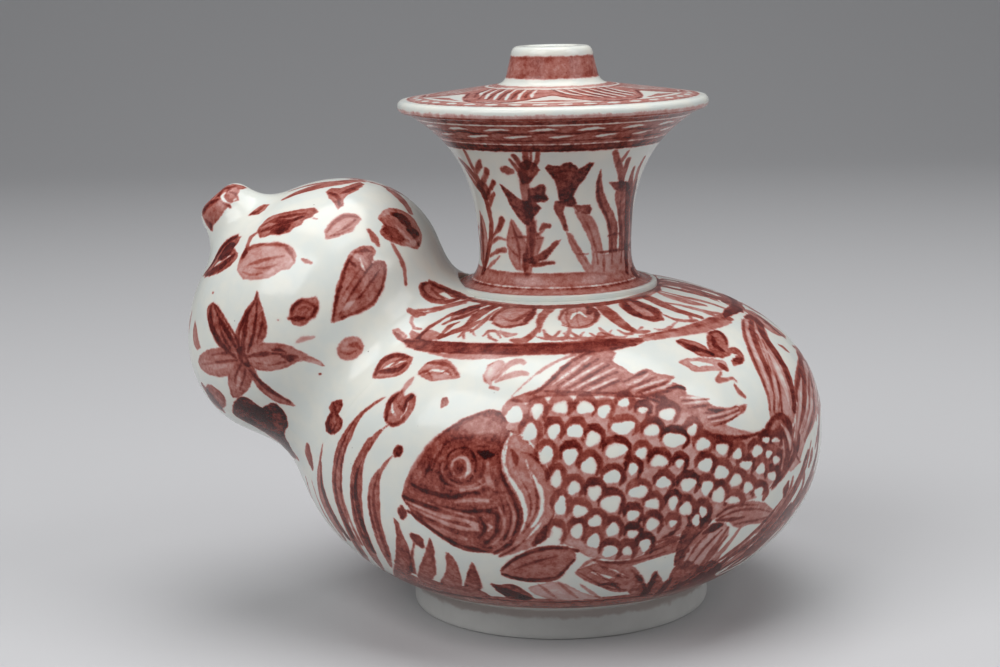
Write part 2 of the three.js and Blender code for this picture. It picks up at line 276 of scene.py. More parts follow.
FISH_LINES = [
    (0.6, (2, 3, 2), [404, 487, 412, 470, 421, 455, 433, 441, 447, 430, 463, 420]),
    (0.98, (3, 6, 3), [412, 484, 422, 490, 436, 494, 450, 497, 462, 495, 471, 491, 480, 494]),
    (1, (2, 4, 3), [403, 496, 415, 501, 430, 506, 445, 508, 460, 511, 478, 511, 497, 508]),
    (0.9, (2, 3, 2), [405, 499, 425, 507, 446, 516, 466, 522]),
    (1, (2, 4, 5), [408, 511, 420, 520, 433, 530, 447, 540, 461, 547, 476, 550, 490, 549]),
    (0.9, (1, 2, 1), [418, 516, 436, 521, 456, 527, 474, 532]),
    (1, (3, 5, 3), [474, 512, 488, 511, 497, 514, 498, 524, 494, 536, 485, 543]),
    (0.9, (2, 4, 2), [480, 518, 484, 524, 484, 532, 478, 538]),
    (0.95, (3, 7, 4), [501, 472, 507, 486, 515, 500, 520, 515, 517, 530, 509, 544, 495, 553]),
    (0.8, (1, 2, 2), [506, 500, 511, 512, 510, 526, 504, 540]),
    (0.9, (1, 2, 1), [498, 492, 503, 505, 503, 520, 498, 532]),
    (0.5, (3, 7, 3), [458, 462, 460, 467, 461, 472]),
    (1, (1, 3, 1), [447, 470, 447, 460, 451, 452, 459, 448, 468, 449, 474, 455, 476, 464, 474, 474,
     468, 481, 458, 483, 450, 479]),
    (1.3, (3, 9, 3), [478, 452, 486, 455, 495, 455]),
    (0.9, (1, 3, 1), [440, 455, 444, 445, 455, 439, 468, 438]),
    (0.9, (1, 3, 1), [432, 470, 436, 460, 441, 450]),
    (0.9, (1, 3, 2), [438, 474, 446, 484, 458, 490]),
    (0.85, (1, 3, 1), [424, 478, 430, 466, 436, 458]),
    (0.9, (1, 2, 1), [440, 464, 440, 472, 446, 480]),
    (0.85, (1, 2, 1), [470, 440, 478, 446, 489, 446]),
    (0.8, (2, 8, 1), [512, 450, 515, 457, 516, 466]),
    (0.8, (1, 3, 1), [521, 452, 531, 455, 540, 463, 547, 475]),
    (0.75, (1, 2, 1), [527, 468, 533, 480, 537, 494, 537, 508, 531, 522, 523, 533]),
    (0.75, (1, 2, 1), [520, 478, 527, 490, 531, 503, 530, 516]),
    (0.7, (1, 2, 1), [553, 482, 556, 500, 554, 514, 549, 525]),
    (1, (6, 10, 5), [546, 528, 541, 537, 534, 544]),
    (0.85, (1, 3, 1), [500, 556, 514, 549, 525, 540]),
    (0.8, (1, 2, 1), [508, 430, 520, 436, 531, 446]),
    (0.85, (2, 4, 3, 2), [530, 395, 541, 389, 553, 378, 564, 367, 578, 357, 592, 351, 606, 350]),
    (0.4, (1, 3, 2), [512, 396, 530, 379, 548, 366, 565, 358, 585, 352]),
    (0.7, (2, 4, 2), [557, 386.5, 573, 376, 585, 367, 598, 359]),
    (0.7, (2, 4, 2), [568, 388.5, 585, 379, 598, 371, 609, 365]),
    (0.7, (2, 4, 2), [579, 390.5, 594, 382.5, 606, 377, 617, 372]),
    (0.7, (2, 4, 2), [592, 393, 606, 386, 620, 380]),
    (0.7, (2, 4, 2), [628, 389, 642, 383.5, 656, 377]),
    (0.7, (2, 4, 2), [636, 393.5, 652, 388, 668, 382]),
    (0.7, (2, 4, 2), [630, 396.5, 645, 396, 660, 393, 678, 388]),
    (0.8, (1.5, 3, 1.5), [545, 391, 570, 392, 600, 393, 622, 393]),
    (0.8, (1.5, 3, 1.5), [624, 382, 636, 376, 648, 371]),
    (0.8, (1.5, 3, 1.5), [628, 396, 645, 398, 662, 403, 680, 410]),
    (0.8, (1.5, 3, 1.5), [682, 400.5, 696, 400, 709, 399]),
    (0.8, (1.5, 3, 1.5), [688, 408, 700, 406, 712, 405]),
    (0.8, (1.5, 3, 1.5), [704, 413, 722, 412.5, 738, 406]),
    (0.8, (1.5, 3, 1.5), [709, 419.5, 725, 416, 739, 410]),
    (0.8, (1.5, 3, 1.5), [714, 426, 728, 421, 737, 415]),
    (0.85, (2, 6, 3), [650, 395, 663, 398, 675, 406]),
    (1.1, (2, 6, 3), [667, 388, 675, 386, 684, 388]),
    (1, (2, 5, 2), [708, 409, 716, 411, 724, 410]),
    (0.8, (1, 3, 1), [664, 403, 676, 410]),
    (0.7, (3, 6, 3), [768, 430, 772, 421, 779, 415, 786, 421, 791, 432]),
    (0.9, (2, 5, 2), [704, 430, 714, 435, 727, 437, 742, 438, 757, 434, 768, 431]),
    (0.9, (1, 2.5, 1), [780, 424, 785, 436, 788, 450, 784, 462]),
    (0.8, (1, 2, 1), [784, 420, 792, 436, 795, 452, 800, 462]),
    (0.8, (1, 2, 1), [774, 444, 782, 452, 784, 466, 778, 478]),
    (0.8, (1, 2, 1), [790, 462, 782, 476, 772, 488]),
    (0.9, (1, 3, 1), [770, 488, 777, 480, 780, 471]),
    (0.7, (1, 2, 1), [795, 440, 797, 450, 790, 465]),
    (0.9, (2, 3, 1), [717, 516, 728, 508, 742, 505, 758, 505]),
    (0.8, (1, 2.5, 1), [720, 518, 736, 511, 755, 509, 772, 512]),
    (0.9, (2, 4, 1), [716, 520, 729, 520, 744, 517]),
    (0.7, (1, 2, 1), [735, 524, 752, 521, 768, 517]),
    (1, (3, 8, 3), [704, 533, 713, 528, 722, 525]),
    (0.7, (1, 2.5, 1), [722, 530, 706, 546, 692, 564]),
    (0.7, (1, 2.5, 1), [727, 536, 714, 552, 700, 572]),
    (0.7, (1, 2.5, 1), [712, 530, 697, 545, 684, 566]),
    (0.7, (1, 2.5, 1), [700, 532, 686, 548, 678, 562]),
    (0.7, (1, 2.5, 1), [728, 545, 716, 560, 706, 577]),
    (0.7, (1, 3, 1), [640, 548, 662, 541, 684, 535]),
    (0.8, (3, 6, 3), [646, 553, 662, 545, 684, 537]),
    (0.9, (1, 4, 1), [661, 539, 671, 534, 680, 528]),
    (1, (2, 5, 3), [501, 571, 512, 561, 528, 553, 546, 548, 566, 548, 577, 551]),
    (1, (2, 5, 2), [503, 574, 520, 579, 540, 580, 556, 578, 566, 569, 574, 560]),
    (0.7, (1, 3, 1), [512, 570, 535, 562, 558, 556]),
    (0.7, (1, 2, 1), [578, 572, 592, 580, 608, 588, 625, 590]),
    (0.7, (1, 2, 1), [590, 568, 604, 578, 620, 585]),
    (1, (2, 4, 2), [600, 585, 612, 584, 620, 590]),
    (0.8, (2, 4, 1), [617, 575, 622, 578]),
    (0.7, (1, 2, 1), [600, 566, 614, 572, 628, 578]),
    (0.6, (1, 3, 1), [590, 560, 615, 563, 640, 560, 665, 552]),
]
FISH_SPARED = [
    ((2, 5, 3), [507, 446, 504, 458, 506, 471, 514, 485, 521, 497, 525, 510, 524, 522, 518, 534, 508, 543]),
    ((1, 5, 2), [526, 460, 529, 470, 536, 481, 541, 493, 542, 507, 538, 519, 531, 528]),
    ((1, 3, 1), [541, 523, 533, 532, 525, 541]),
]
PALER_STROKES = [
    (0.66, (2, 5, 3), [406, 501, 421, 508, 440, 515, 460, 520, 477, 524]),
    (0.62, (1, 4, 4), [410, 507, 427, 515, 447, 524, 466, 529, 476, 529]),
    (0.5, (1, 2.5, 2), [428, 503, 445, 509, 462, 514, 474, 517]),
    (0.4, (2, 6, 3), [428, 523, 446, 533, 466, 539]),
    (0.78, (2, 4, 5, 3), [460, 457, 466, 458, 469, 464, 469, 471, 465, 477]),
    (0.55, (2, 3, 2), [459, 457, 453, 461, 451, 468, 454, 475, 460, 478, 466, 476]),
    (0.4, (2, 3, 2), [443, 464, 443, 474, 450, 482, 461, 487, 474, 485, 484, 477, 487, 467]),
    (0.5, (2, 4, 2), [446, 486, 460, 490, 474, 489, 486, 483]),
    (0.55, (2, 5, 3), [455, 502, 470, 500, 488, 501]),
    (0.65, (3, 6, 3), [470, 524, 475, 526, 478, 530]),
    (0.85, (2, 4, 2), [488, 524, 491, 527, 488, 531]),
    (0.45, (1, 4, 3, 1), [497, 505, 503, 516, 504, 529, 498, 540, 485, 548]),
    (0.45, (1, 4, 3, 1), [507, 498, 514, 513, 512, 531, 503, 545, 490, 553]),
    (0.42, (3, 7, 3), [488, 463, 488, 478, 494, 489]),
    (0.3, (8, 18, 10), [462, 431, 480, 425, 497, 428]),
    (0.45, (2, 4, 2), [404, 488, 411, 472, 420, 457, 436, 438]),
    (0.4, (1, 3, 1), [473, 545, 488, 550, 503, 548]),
    (0.82, (1, 3.2, 1.4), [552, 385, 570, 372, 593, 355]),
    (0.82, (1, 3.4, 1.4), [562, 387, 578, 377, 603, 363]),
    (0.82, (1, 3.4, 1.4), [572, 390, 593, 379, 615, 368]),
    (0.82, (1, 3.4, 1.4), [587, 391, 603, 384, 617, 378]),
    (0.82, (1, 3.4, 1.4), [627, 385, 642, 379, 648, 374]),
    (0.82, (1, 3.4, 1.4), [632, 390, 650, 384, 667, 379]),
    (0.82, (1, 3.2, 1.4), [643, 393, 660, 388, 677, 384]),
    (0.82, (1, 3.4, 1.6), [680, 397, 695, 398, 708, 397]),
    (0.82, (1, 3.4, 1.6), [683, 404, 697, 402, 712, 401]),
    (0.82, (1, 3.4, 1.6), [708, 417, 723, 413, 738, 408]),
    (0.82, (1, 3.4, 1.6), [712, 422, 727, 418, 740, 412]),
    (0.45, (3, 7, 3), [352, 254, 360, 258, 366, 264]),
    (0.38, (2, 7, 2), [338, 312, 348, 306, 358, 300]),
    (0.4, (4, 9, 4), [378, 217, 384, 212, 392, 210]),
    (0.35, (4, 9, 4), [403, 243, 412, 244, 418, 239]),
    (0.3, (2, 6, 2), [398, 228, 404, 235, 410, 240]),
    (0.35, (3, 7, 3), [205, 362, 215, 366, 226, 366]),
    (0.35, (2, 6, 2), [236, 388, 238, 380, 240, 372]),
    (0.35, (2, 6, 2), [300, 360, 310, 361, 320, 364]),
    (0.6, (1, 4, 4, 1), [766, 350, 774, 361, 781, 377, 787, 393, 789, 405]),
    (0.55, (1, 3, 1), [757, 331, 765, 350, 772, 368, 777, 388, 779, 402]),
    (0.55, (1, 2.5, 2), [771, 372, 775, 388, 776, 408]),
    (0.5, (1, 2.5, 1), [747, 331, 754, 350, 762, 368, 768, 384]),
    (0.75, (1, 4, 1), [781, 424, 786, 430, 790, 440, 790, 450]),
    (0.5, (1, 3, 1), [783, 440, 784, 455, 781, 470]),
    (0.55, (1, 2.5, 1), [806, 384, 808, 400, 806, 418, 802, 432]),
    (0.5, (1, 2, 1), [812, 388, 812, 404, 808, 420]),
    (0.5, (1, 2.5, 1), [801, 378, 801, 400, 799, 420, 796, 440]),
    (0.35, (2, 4, 2), [334, 418, 333, 427]),
]
SCALE_OVALS = [
    (515, 415, 8, 9),
    (537.5, 411, 6, 8),
    (561, 407.5, 7.5, 7),
    (585, 407.5, 8, 7.5),
    (604, 411, 6, 7),
    (624, 402.5, 5.5, 5),
    (642.5, 410, 4.5, 4),
    (667.5, 414, 8, 7),
    (530, 432.5, 7.5, 9),
    (553.7, 431, 6, 8),
    (575.6, 431, 7.5, 8),
    (593, 438.7, 7, 8.5),
    (623, 427.5, 12, 6.5),
    (652, 430, 7.5, 6.5),
    (673.7, 440, 11, 8),
    (692.5, 430, 5, 6.5),
    (546, 455, 7, 9),
    (570, 456, 7, 9.5),
    (589.4, 466, 7.5, 9.5),
    (616, 450, 11, 7.5),
    (641.9, 453, 6, 6),
    (659, 461, 8, 7),
    (680, 463, 4, 5),
    (556, 479, 6, 9),
    (574, 488, 6, 7.5),
    (594.4, 492.5, 6.5, 9),
    (612.5, 477, 8.5, 7),
    (633, 469, 5, 6.5),
    (638.7, 492, 9, 7),
    (663.7, 482.5, 6.5, 6.5),
    (688, 484, 8, 7),
    (560.6, 506, 6, 9.5),
    (580, 511, 7, 7),
    (611, 503.7, 9.5, 9.5),
    (595.6, 521, 7, 6),
    (633, 515, 6, 6),
    (653, 503.7, 7, 6),
    (652.5, 523.7, 6, 7),
    (673, 502.5, 5, 7),
    (686, 508.7, 6, 8),
    (556.5, 534, 5.5, 9),
    (577, 531, 6, 8),
    (613, 529.4, 6.5, 7),
    (632.5, 533.7, 5.5, 5),
    (594, 541, 6, 8),
    (610, 551, 8, 6),
    (645, 545, 5.5, 6.5),
    (627.5, 551, 5, 5.5),
    (672.5, 523, 3.5, 4),
    (696, 520, 4.5, 6),
    (703, 444, 7, 7),
    (722.5, 448.7, 6, 7),
    (737.5, 453.7, 4.5, 6),
    (757, 451, 5.5, 6),
    (766, 440, 3.5, 3.5),
    (776, 440, 4, 3),
    (768.7, 453.7, 3.5, 4),
    (705.6, 465, 7, 7),
    (721, 472.5, 6.5, 8),
    (746, 465, 6, 5),
    (761, 468.7, 4.5, 5.5),
    (776, 460, 3.5, 5),
    (772, 476, 4, 5.5),
    (736, 480, 6, 7),
    (707, 487.5, 6, 7.5),
    (719, 495, 6, 9),
    (748, 487.5, 4.5, 6.5),
    (758.7, 492, 4.5, 5),
    (732.5, 500, 7.5, 4),
    (703, 512, 4, 7),
]
TAIL_WASHES = [
    (0.38, [742, 320, 747, 315, 756, 314, 763, 324, 770, 340, 779, 353, 787, 369, 792, 386, 796, 400,
     795, 412, 793, 424, 786, 421, 778, 418, 770, 417, 769, 408, 769, 398, 764, 385, 757, 369, 750, 352,
     744, 335]),
    (0.6, [764, 432, 768, 421, 775, 414, 783, 413, 790, 418, 792, 428, 788, 438, 778, 437, 770, 440]),
    (0.37, [797, 342, 803, 349, 809, 360, 813, 374, 816, 392, 817, 408, 814, 424, 808, 436, 803, 450,
     799, 462, 791, 472, 787, 468, 791, 452, 795, 436, 796, 418, 797, 404, 796, 386, 798, 370, 799, 354]),
    (0.5, [742, 309, 752, 311, 763, 318, 772, 325, 780, 331, 786, 337, 777, 335, 768, 330, 759, 322,
     750, 315]),
]
TAIL_LINES = [
    (0.75, (2, 3, 2), [743, 320, 744, 333, 749, 349, 756, 366, 763, 382, 768, 396, 770, 410]),
    (0.85, (3, 4, 2), [752, 318, 752, 330, 758, 348, 765, 364, 771, 380, 775, 396, 774, 411]),
    (0.9, (2, 4, 2), [746, 318, 752, 316, 759, 322, 762, 332]),
    (1, (3, 4, 5, 4), [757, 320, 763, 334, 771, 346, 779, 358, 786, 370, 791, 385, 794, 398, 794, 409]),
    (0.8, (1, 2, 2), [762, 340, 768, 354, 773, 370, 779, 386, 781, 402, 782, 412]),
    (0.7, (1, 2, 1), [757, 334, 765, 352, 771, 372, 774, 390]),
    (0.7, (1, 2, 1), [776, 382, 780, 394, 779, 408]),
    (0.85, (3, 6, 4), [767, 428, 774, 419, 783, 417, 790, 426, 791, 434]),
    (0.65, (3, 7, 3), [768, 434, 777, 431, 784, 428]),
    (0.9, (2, 4, 2), [779, 428, 783, 438, 786, 450, 786, 462, 782, 474]),
    (0.85, (1, 3, 2), [789, 432, 793, 440, 790, 452, 787, 466]),
    (0.8, (3, 4, 2), [797, 344, 800, 358, 803, 372, 805, 392, 803, 412, 799, 428, 797, 440]),
    (0.95, (3, 5, 3), [799, 436, 797, 448, 792, 460, 786, 470]),
    (0.75, (1, 3, 2), [805, 358, 810, 374, 813, 392, 814, 410, 810, 426, 805, 440]),
    (0.7, (1, 2, 2), [809, 372, 809, 392, 808, 412, 802, 432]),
    (0.85, (2, 4, 2), [801, 354, 799, 372, 796, 388, 797, 400]),
    (0.7, (1, 2, 1), [812, 366, 816, 384, 818, 404, 816, 420]),
    (0.8, (1, 3, 2), [795, 424, 792, 438, 790, 452]),
    (0.95, (2, 4, 2), [812, 450, 811, 458, 809, 465]),
    (1.05, (2, 5, 3), [788, 483, 786, 489, 785, 495]),
    (0.8, (1, 3, 1), [779, 345, 784, 348, 789, 352]),
    (0.9, (1, 3, 2), [752, 313, 764, 320, 774, 329, 784, 337]),
    (0.7, (1, 2, 1), [758, 310, 770, 319, 781, 329]),
    (1, (2, 4, 4, 3), [804, 470, 803, 484, 797, 498, 788, 511, 776, 526, 761, 541, 746, 555, 731, 566]),
    (0.8, (2, 5, 4, 2), [800, 498, 790, 515, 776, 530, 757, 549, 741, 562, 722, 572]),
    (0.8, (2, 3, 2), [813, 474, 806, 490, 798, 505, 788, 519]),
    (0.7, (1, 3, 3, 1), [817, 462, 812, 480, 803, 498, 792, 514, 779, 531, 763, 546]),
    (0.7, (2, 3, 2), [793, 478, 789, 492, 780, 506, 771, 519, 757, 532]),
    (0.75, (1, 4, 3), [752, 543, 737, 558, 718, 570]),
    (0.7, (2, 4, 2), [728, 528, 716, 545, 704, 562, 694, 576]),
    (0.75, (1, 3, 2), [770, 516, 757, 530, 742, 544, 728, 556]),
    (0.6, (2, 4, 2), [740, 528, 728, 544, 712, 562, 700, 575]),
    (0.7, (2, 5, 2), [745, 552, 725, 566, 700, 578, 680, 584]),
]
WEED_WASHES = [
    (0.55, [323, 443, 320, 455, 318, 466, 317, 480, 319, 494, 324, 508, 331, 521, 340, 534, 347, 542,
     339, 526, 331, 510, 326, 496, 322, 482, 321, 466, 322, 454]),
    (0.6, [386, 397, 376, 401, 366, 408, 358, 415, 349, 425, 341, 437, 336, 449, 333, 464, 332, 480,
     334, 496, 340, 515, 348, 534, 356, 548, 366, 560, 371, 563, 361, 546, 352, 530, 346, 512, 342, 496,
     342, 478, 343, 462, 347, 448, 352, 437, 357, 425, 364, 414, 373, 406]),
    (0.62, [388, 425, 381, 429, 373, 435, 366, 441, 361, 450, 355, 460, 351, 472, 350, 488, 351, 504,
     354, 520, 360, 537, 368, 552, 378, 565, 385, 571, 376, 554, 369, 538, 364, 520, 362, 502, 362, 486,
     363, 470, 366, 456, 372, 446, 380, 434]),
    (0.55, [393, 455, 385, 462, 378, 470, 371, 479, 368, 492, 368, 508, 372, 526, 378, 544, 385, 558,
     392, 568, 390, 552, 385, 536, 381, 520, 380, 504, 380, 488, 381, 476, 386, 466]),
    (0.85, [397, 445, 403, 446, 403, 452, 400, 457, 394, 458, 393, 452]),
    (0.5, [373, 378, 375, 369, 380, 361, 387, 356, 396, 353, 405, 354, 413, 358, 411, 364, 406, 371,
     397, 376, 386, 378]),
    (0.35, [418, 373, 423, 366, 430, 361, 441, 359, 450, 361, 456, 368, 460, 377, 452, 379, 443, 380,
     433, 381, 425, 379]),
    (0.5, [402, 390, 395, 393, 388, 400, 385, 408, 383, 418, 386, 423, 392, 427, 400, 426, 406, 420,
     411, 414, 415, 405, 416, 396, 411, 393, 405, 396]),
    (0.6, [442, 398, 447, 397, 449, 402, 445, 407, 441, 408, 441, 402]),
    (0.85, [331, 402, 336, 400, 342, 400, 343, 405, 341, 410, 338, 414, 342, 419, 342, 427, 337, 433,
     331, 435, 326, 431, 325, 424, 327, 417, 331, 413, 329, 408]),
    (0.75, [393, 517, 399, 524, 402, 533, 408, 546, 411, 558, 413, 572, 404, 577, 394, 575, 395, 560,
     396, 545, 396, 532]),
    (0.7, [430, 538, 434, 548, 435, 560, 436, 574, 428, 582, 418, 580, 420, 566, 425, 552]),
    (0.6, [446, 552, 455, 560, 460, 572, 462, 586, 452, 588, 440, 584, 446, 570]),
    (0.75, [472, 562, 478, 574, 482, 588, 474, 594, 464, 590, 466, 578]),
    (0.85, [512, 584, 524, 590, 534, 598, 526, 602, 512, 598, 500, 592, 490, 584, 500, 585]),
    (0.6, [640, 574, 646, 584, 648, 594, 636, 598, 628, 592, 634, 584]),
    (0.6, [655, 570, 662, 580, 668, 592, 658, 596, 648, 592, 650, 580]),
    (0.55, [676, 566, 684, 576, 694, 584, 686, 590, 672, 590, 668, 580]),
]
WEED_LINES = [
    (1, (1, 3, 4, 3), [321, 462, 322, 484, 327, 502, 336, 520, 348, 538]),
    (0.8, (1, 2, 3, 2), [354, 421, 344, 440, 338, 458, 335, 478, 337, 498, 344, 518, 354, 540, 364, 556]),
    (0.6, (1, 2, 2), [350, 434, 344, 452, 341, 472, 342, 494, 349, 518, 361, 544]),
    (0.95, (1, 4, 4, 2), [361, 462, 356, 478, 356, 496, 360, 516, 366, 534, 374, 552]),
    (0.8, (1, 2, 2), [352, 482, 353, 502, 358, 524, 368, 546]),
    (0.7, (1, 3, 3, 2), [378, 474, 374, 490, 374, 508, 379, 530, 388, 556]),
    (0.75, (1, 2, 1), [369, 496, 371, 516, 378, 538]),
    (0.5, (1, 2, 1), [312, 482, 318, 500, 328, 520, 343, 540]),
    (0.7, (1, 2, 1), [306, 478, 312, 498, 322, 516]),
    (0.9, (4, 9, 4), [402, 508, 402, 512.5, 402, 517]),
    (1, (6, 9, 5), [414, 537, 418, 540, 421, 545]),
    (0.8, (3, 5, 3), [376, 374, 380, 365, 387, 358, 397, 355, 408, 357]),
    (0.95, (2, 5, 3), [376, 372, 388, 371, 398, 370, 406, 364]),
    (0.7, (2, 3, 2), [391, 366, 397, 362, 403, 358]),
    (0.6, (2, 4, 2), [428, 363, 439, 363, 450, 366, 457, 375]),
    (0.6, (1, 3, 1), [440, 374, 447, 371, 452, 376]),
    (0.45, (1, 3, 1), [419, 374, 427, 371, 432, 378]),
    (0.8, (2, 5, 3), [398, 394, 390, 402, 387, 411, 386, 420]),
    (0.9, (1, 3, 4), [397, 402, 400, 408, 404, 411, 407, 400, 412, 396]),
    (0.7, (2, 4, 2), [389, 424, 397, 424, 404, 418]),
    (0.4, (1, 5, 3), [414, 377, 408, 384, 402, 392]),
    (1, (2, 4, 3), [330, 417, 327, 425, 330, 432]),
    (0.8, (3, 6, 3), [308, 446, 309, 456, 312, 466]),
    (0.8, (1, 3, 4), [415, 538, 412, 556, 413, 572]),
]
WEED_SPARED = [
    ((1, 3, 2.5, 1), [384, 368, 392, 365, 400, 362, 406, 361]),
    ((1, 2.4, 2, 1), [426, 373, 433, 370, 441, 371, 449, 374]),
    ((1, 2.5, 2, 1), [392, 403, 392, 410, 396, 417]),
    ((1, 2, 1.5), [408, 403, 406, 410, 401, 417]),
]
SPOUT_WASHES = [
    (0.6, [205, 204, 212, 197, 222, 188, 233, 184, 243, 186, 247, 188, 240, 190, 236, 196, 232, 203,
     227, 208, 224, 213, 218, 220, 213, 226, 211, 231, 207, 226, 203, 218, 202, 210]),
    (0.6, [249, 215, 253, 211, 258, 207, 264, 204, 270, 204, 265, 210, 259, 214, 253, 215]),
    (0.6, [257, 231, 262, 224, 268, 218, 278, 214, 290, 211, 302, 209, 315, 208, 318, 212, 312, 217,
     304, 220, 301, 225, 294, 228, 289, 232, 279, 235, 270, 235, 260, 238]),
    (0.7, [203, 276, 208, 269, 213, 261, 218, 252, 224, 244, 230, 238, 236, 235, 241, 237, 238, 243,
     234, 248, 238, 253, 237, 258, 231, 265, 224, 270, 217, 274, 210, 276]),
    (0.34, [237, 270, 239, 262, 242, 254, 249, 247, 261, 243, 275, 243, 288, 245, 294, 249, 297, 256,
     295, 263, 290, 269, 282, 270, 276, 274, 265, 279, 252, 280, 243, 279]),
    (0.72, [213, 302, 208, 306, 207, 314, 208, 322, 211, 331, 214, 339, 219, 346, 226, 352, 235, 359,
     242, 361, 240, 352, 237, 344, 233, 336, 228, 327, 222, 316, 218, 307]),
    (0.7, [257, 291, 259, 298, 262, 306, 265, 316, 267, 326, 266, 336, 262, 342, 255, 348, 249, 353,
     243, 358, 237, 352, 235, 344, 235, 334, 238, 325, 243, 315, 249, 306, 254, 299]),
    (0.55, [243, 354, 250, 347, 260, 343, 272, 343, 284, 344, 294, 348, 304, 353, 316, 359, 325, 366,
     315, 364, 302, 361, 293, 364, 283, 369, 270, 371, 260, 370, 250, 366]),
    (0.55, [198, 362, 200, 355, 206, 351, 214, 348, 224, 348, 234, 352, 243, 357, 244, 363, 236, 370,
     228, 376, 218, 377, 208, 374, 201, 369]),
    (0.65, [240, 360, 232, 366, 228, 376, 229, 388, 233, 398, 239, 397, 246, 392, 251, 384, 252, 374,
     249, 366]),
    (0.7, [244, 362, 252, 363, 256, 372, 262, 381, 270, 388, 279, 394, 288, 399, 296, 406, 286, 405,
     275, 401, 264, 394, 255, 384, 249, 374]),
    (0.6, [195, 321, 197, 328, 198, 338, 201, 348, 197, 350, 194, 344, 193, 332]),
    (0.6, [289, 318, 290, 309, 294, 303, 301, 299, 309, 298, 316, 296, 319, 302, 318, 310, 316, 317,
     311, 319, 307, 324, 299, 326, 292, 324]),
    # A leaf under the bulb, washed darker than the darkest red: partly its real paint, partly painted shade
    # beneath the bulb
    (1.25, [234, 402, 240, 397, 248, 398, 256, 404, 263, 408, 270, 403, 278, 405, 285, 413, 288, 424,
     284, 434, 288, 442, 292, 450, 296, 459, 288, 453, 281, 444, 272, 436, 262, 431, 252, 425, 242, 420,
     233, 413]),
    (0.75, [208, 384, 216, 388, 224, 396, 226, 406, 220, 410, 212, 402, 206, 392]),
    (0.33, [326, 239, 324, 232, 327, 226, 333, 220, 340, 215, 348, 213, 356, 214, 361, 219, 357, 225,
     352, 231, 344, 235, 335, 238]),
    (0.6, [326, 192, 331, 188, 340, 188, 350, 185, 360, 182, 364, 184, 358, 190, 350, 194, 344, 198,
     343, 206, 338, 210, 334, 203, 329, 198]),
    (0.62, [378, 219, 382, 212, 389, 208, 398, 209, 407, 213, 414, 219, 419, 227, 422, 236, 421, 244,
     417, 249, 409, 247, 400, 245, 391, 242, 384, 238, 380, 231, 385, 226]),
    (0.6, [331, 323, 333, 311, 335, 299, 336, 287, 340, 276, 344, 266, 348, 256, 354, 249, 363, 246,
     372, 246, 376, 251, 373, 258, 372, 263, 378, 260, 385, 262, 387, 270, 385, 280, 381, 292, 376, 303,
     369, 309, 360, 313, 349, 317, 339, 321]),
    (0.42, [337, 352, 339, 344, 345, 338, 353, 336, 361, 339, 364, 346, 362, 353, 356, 358, 348, 361,
     341, 359]),
]
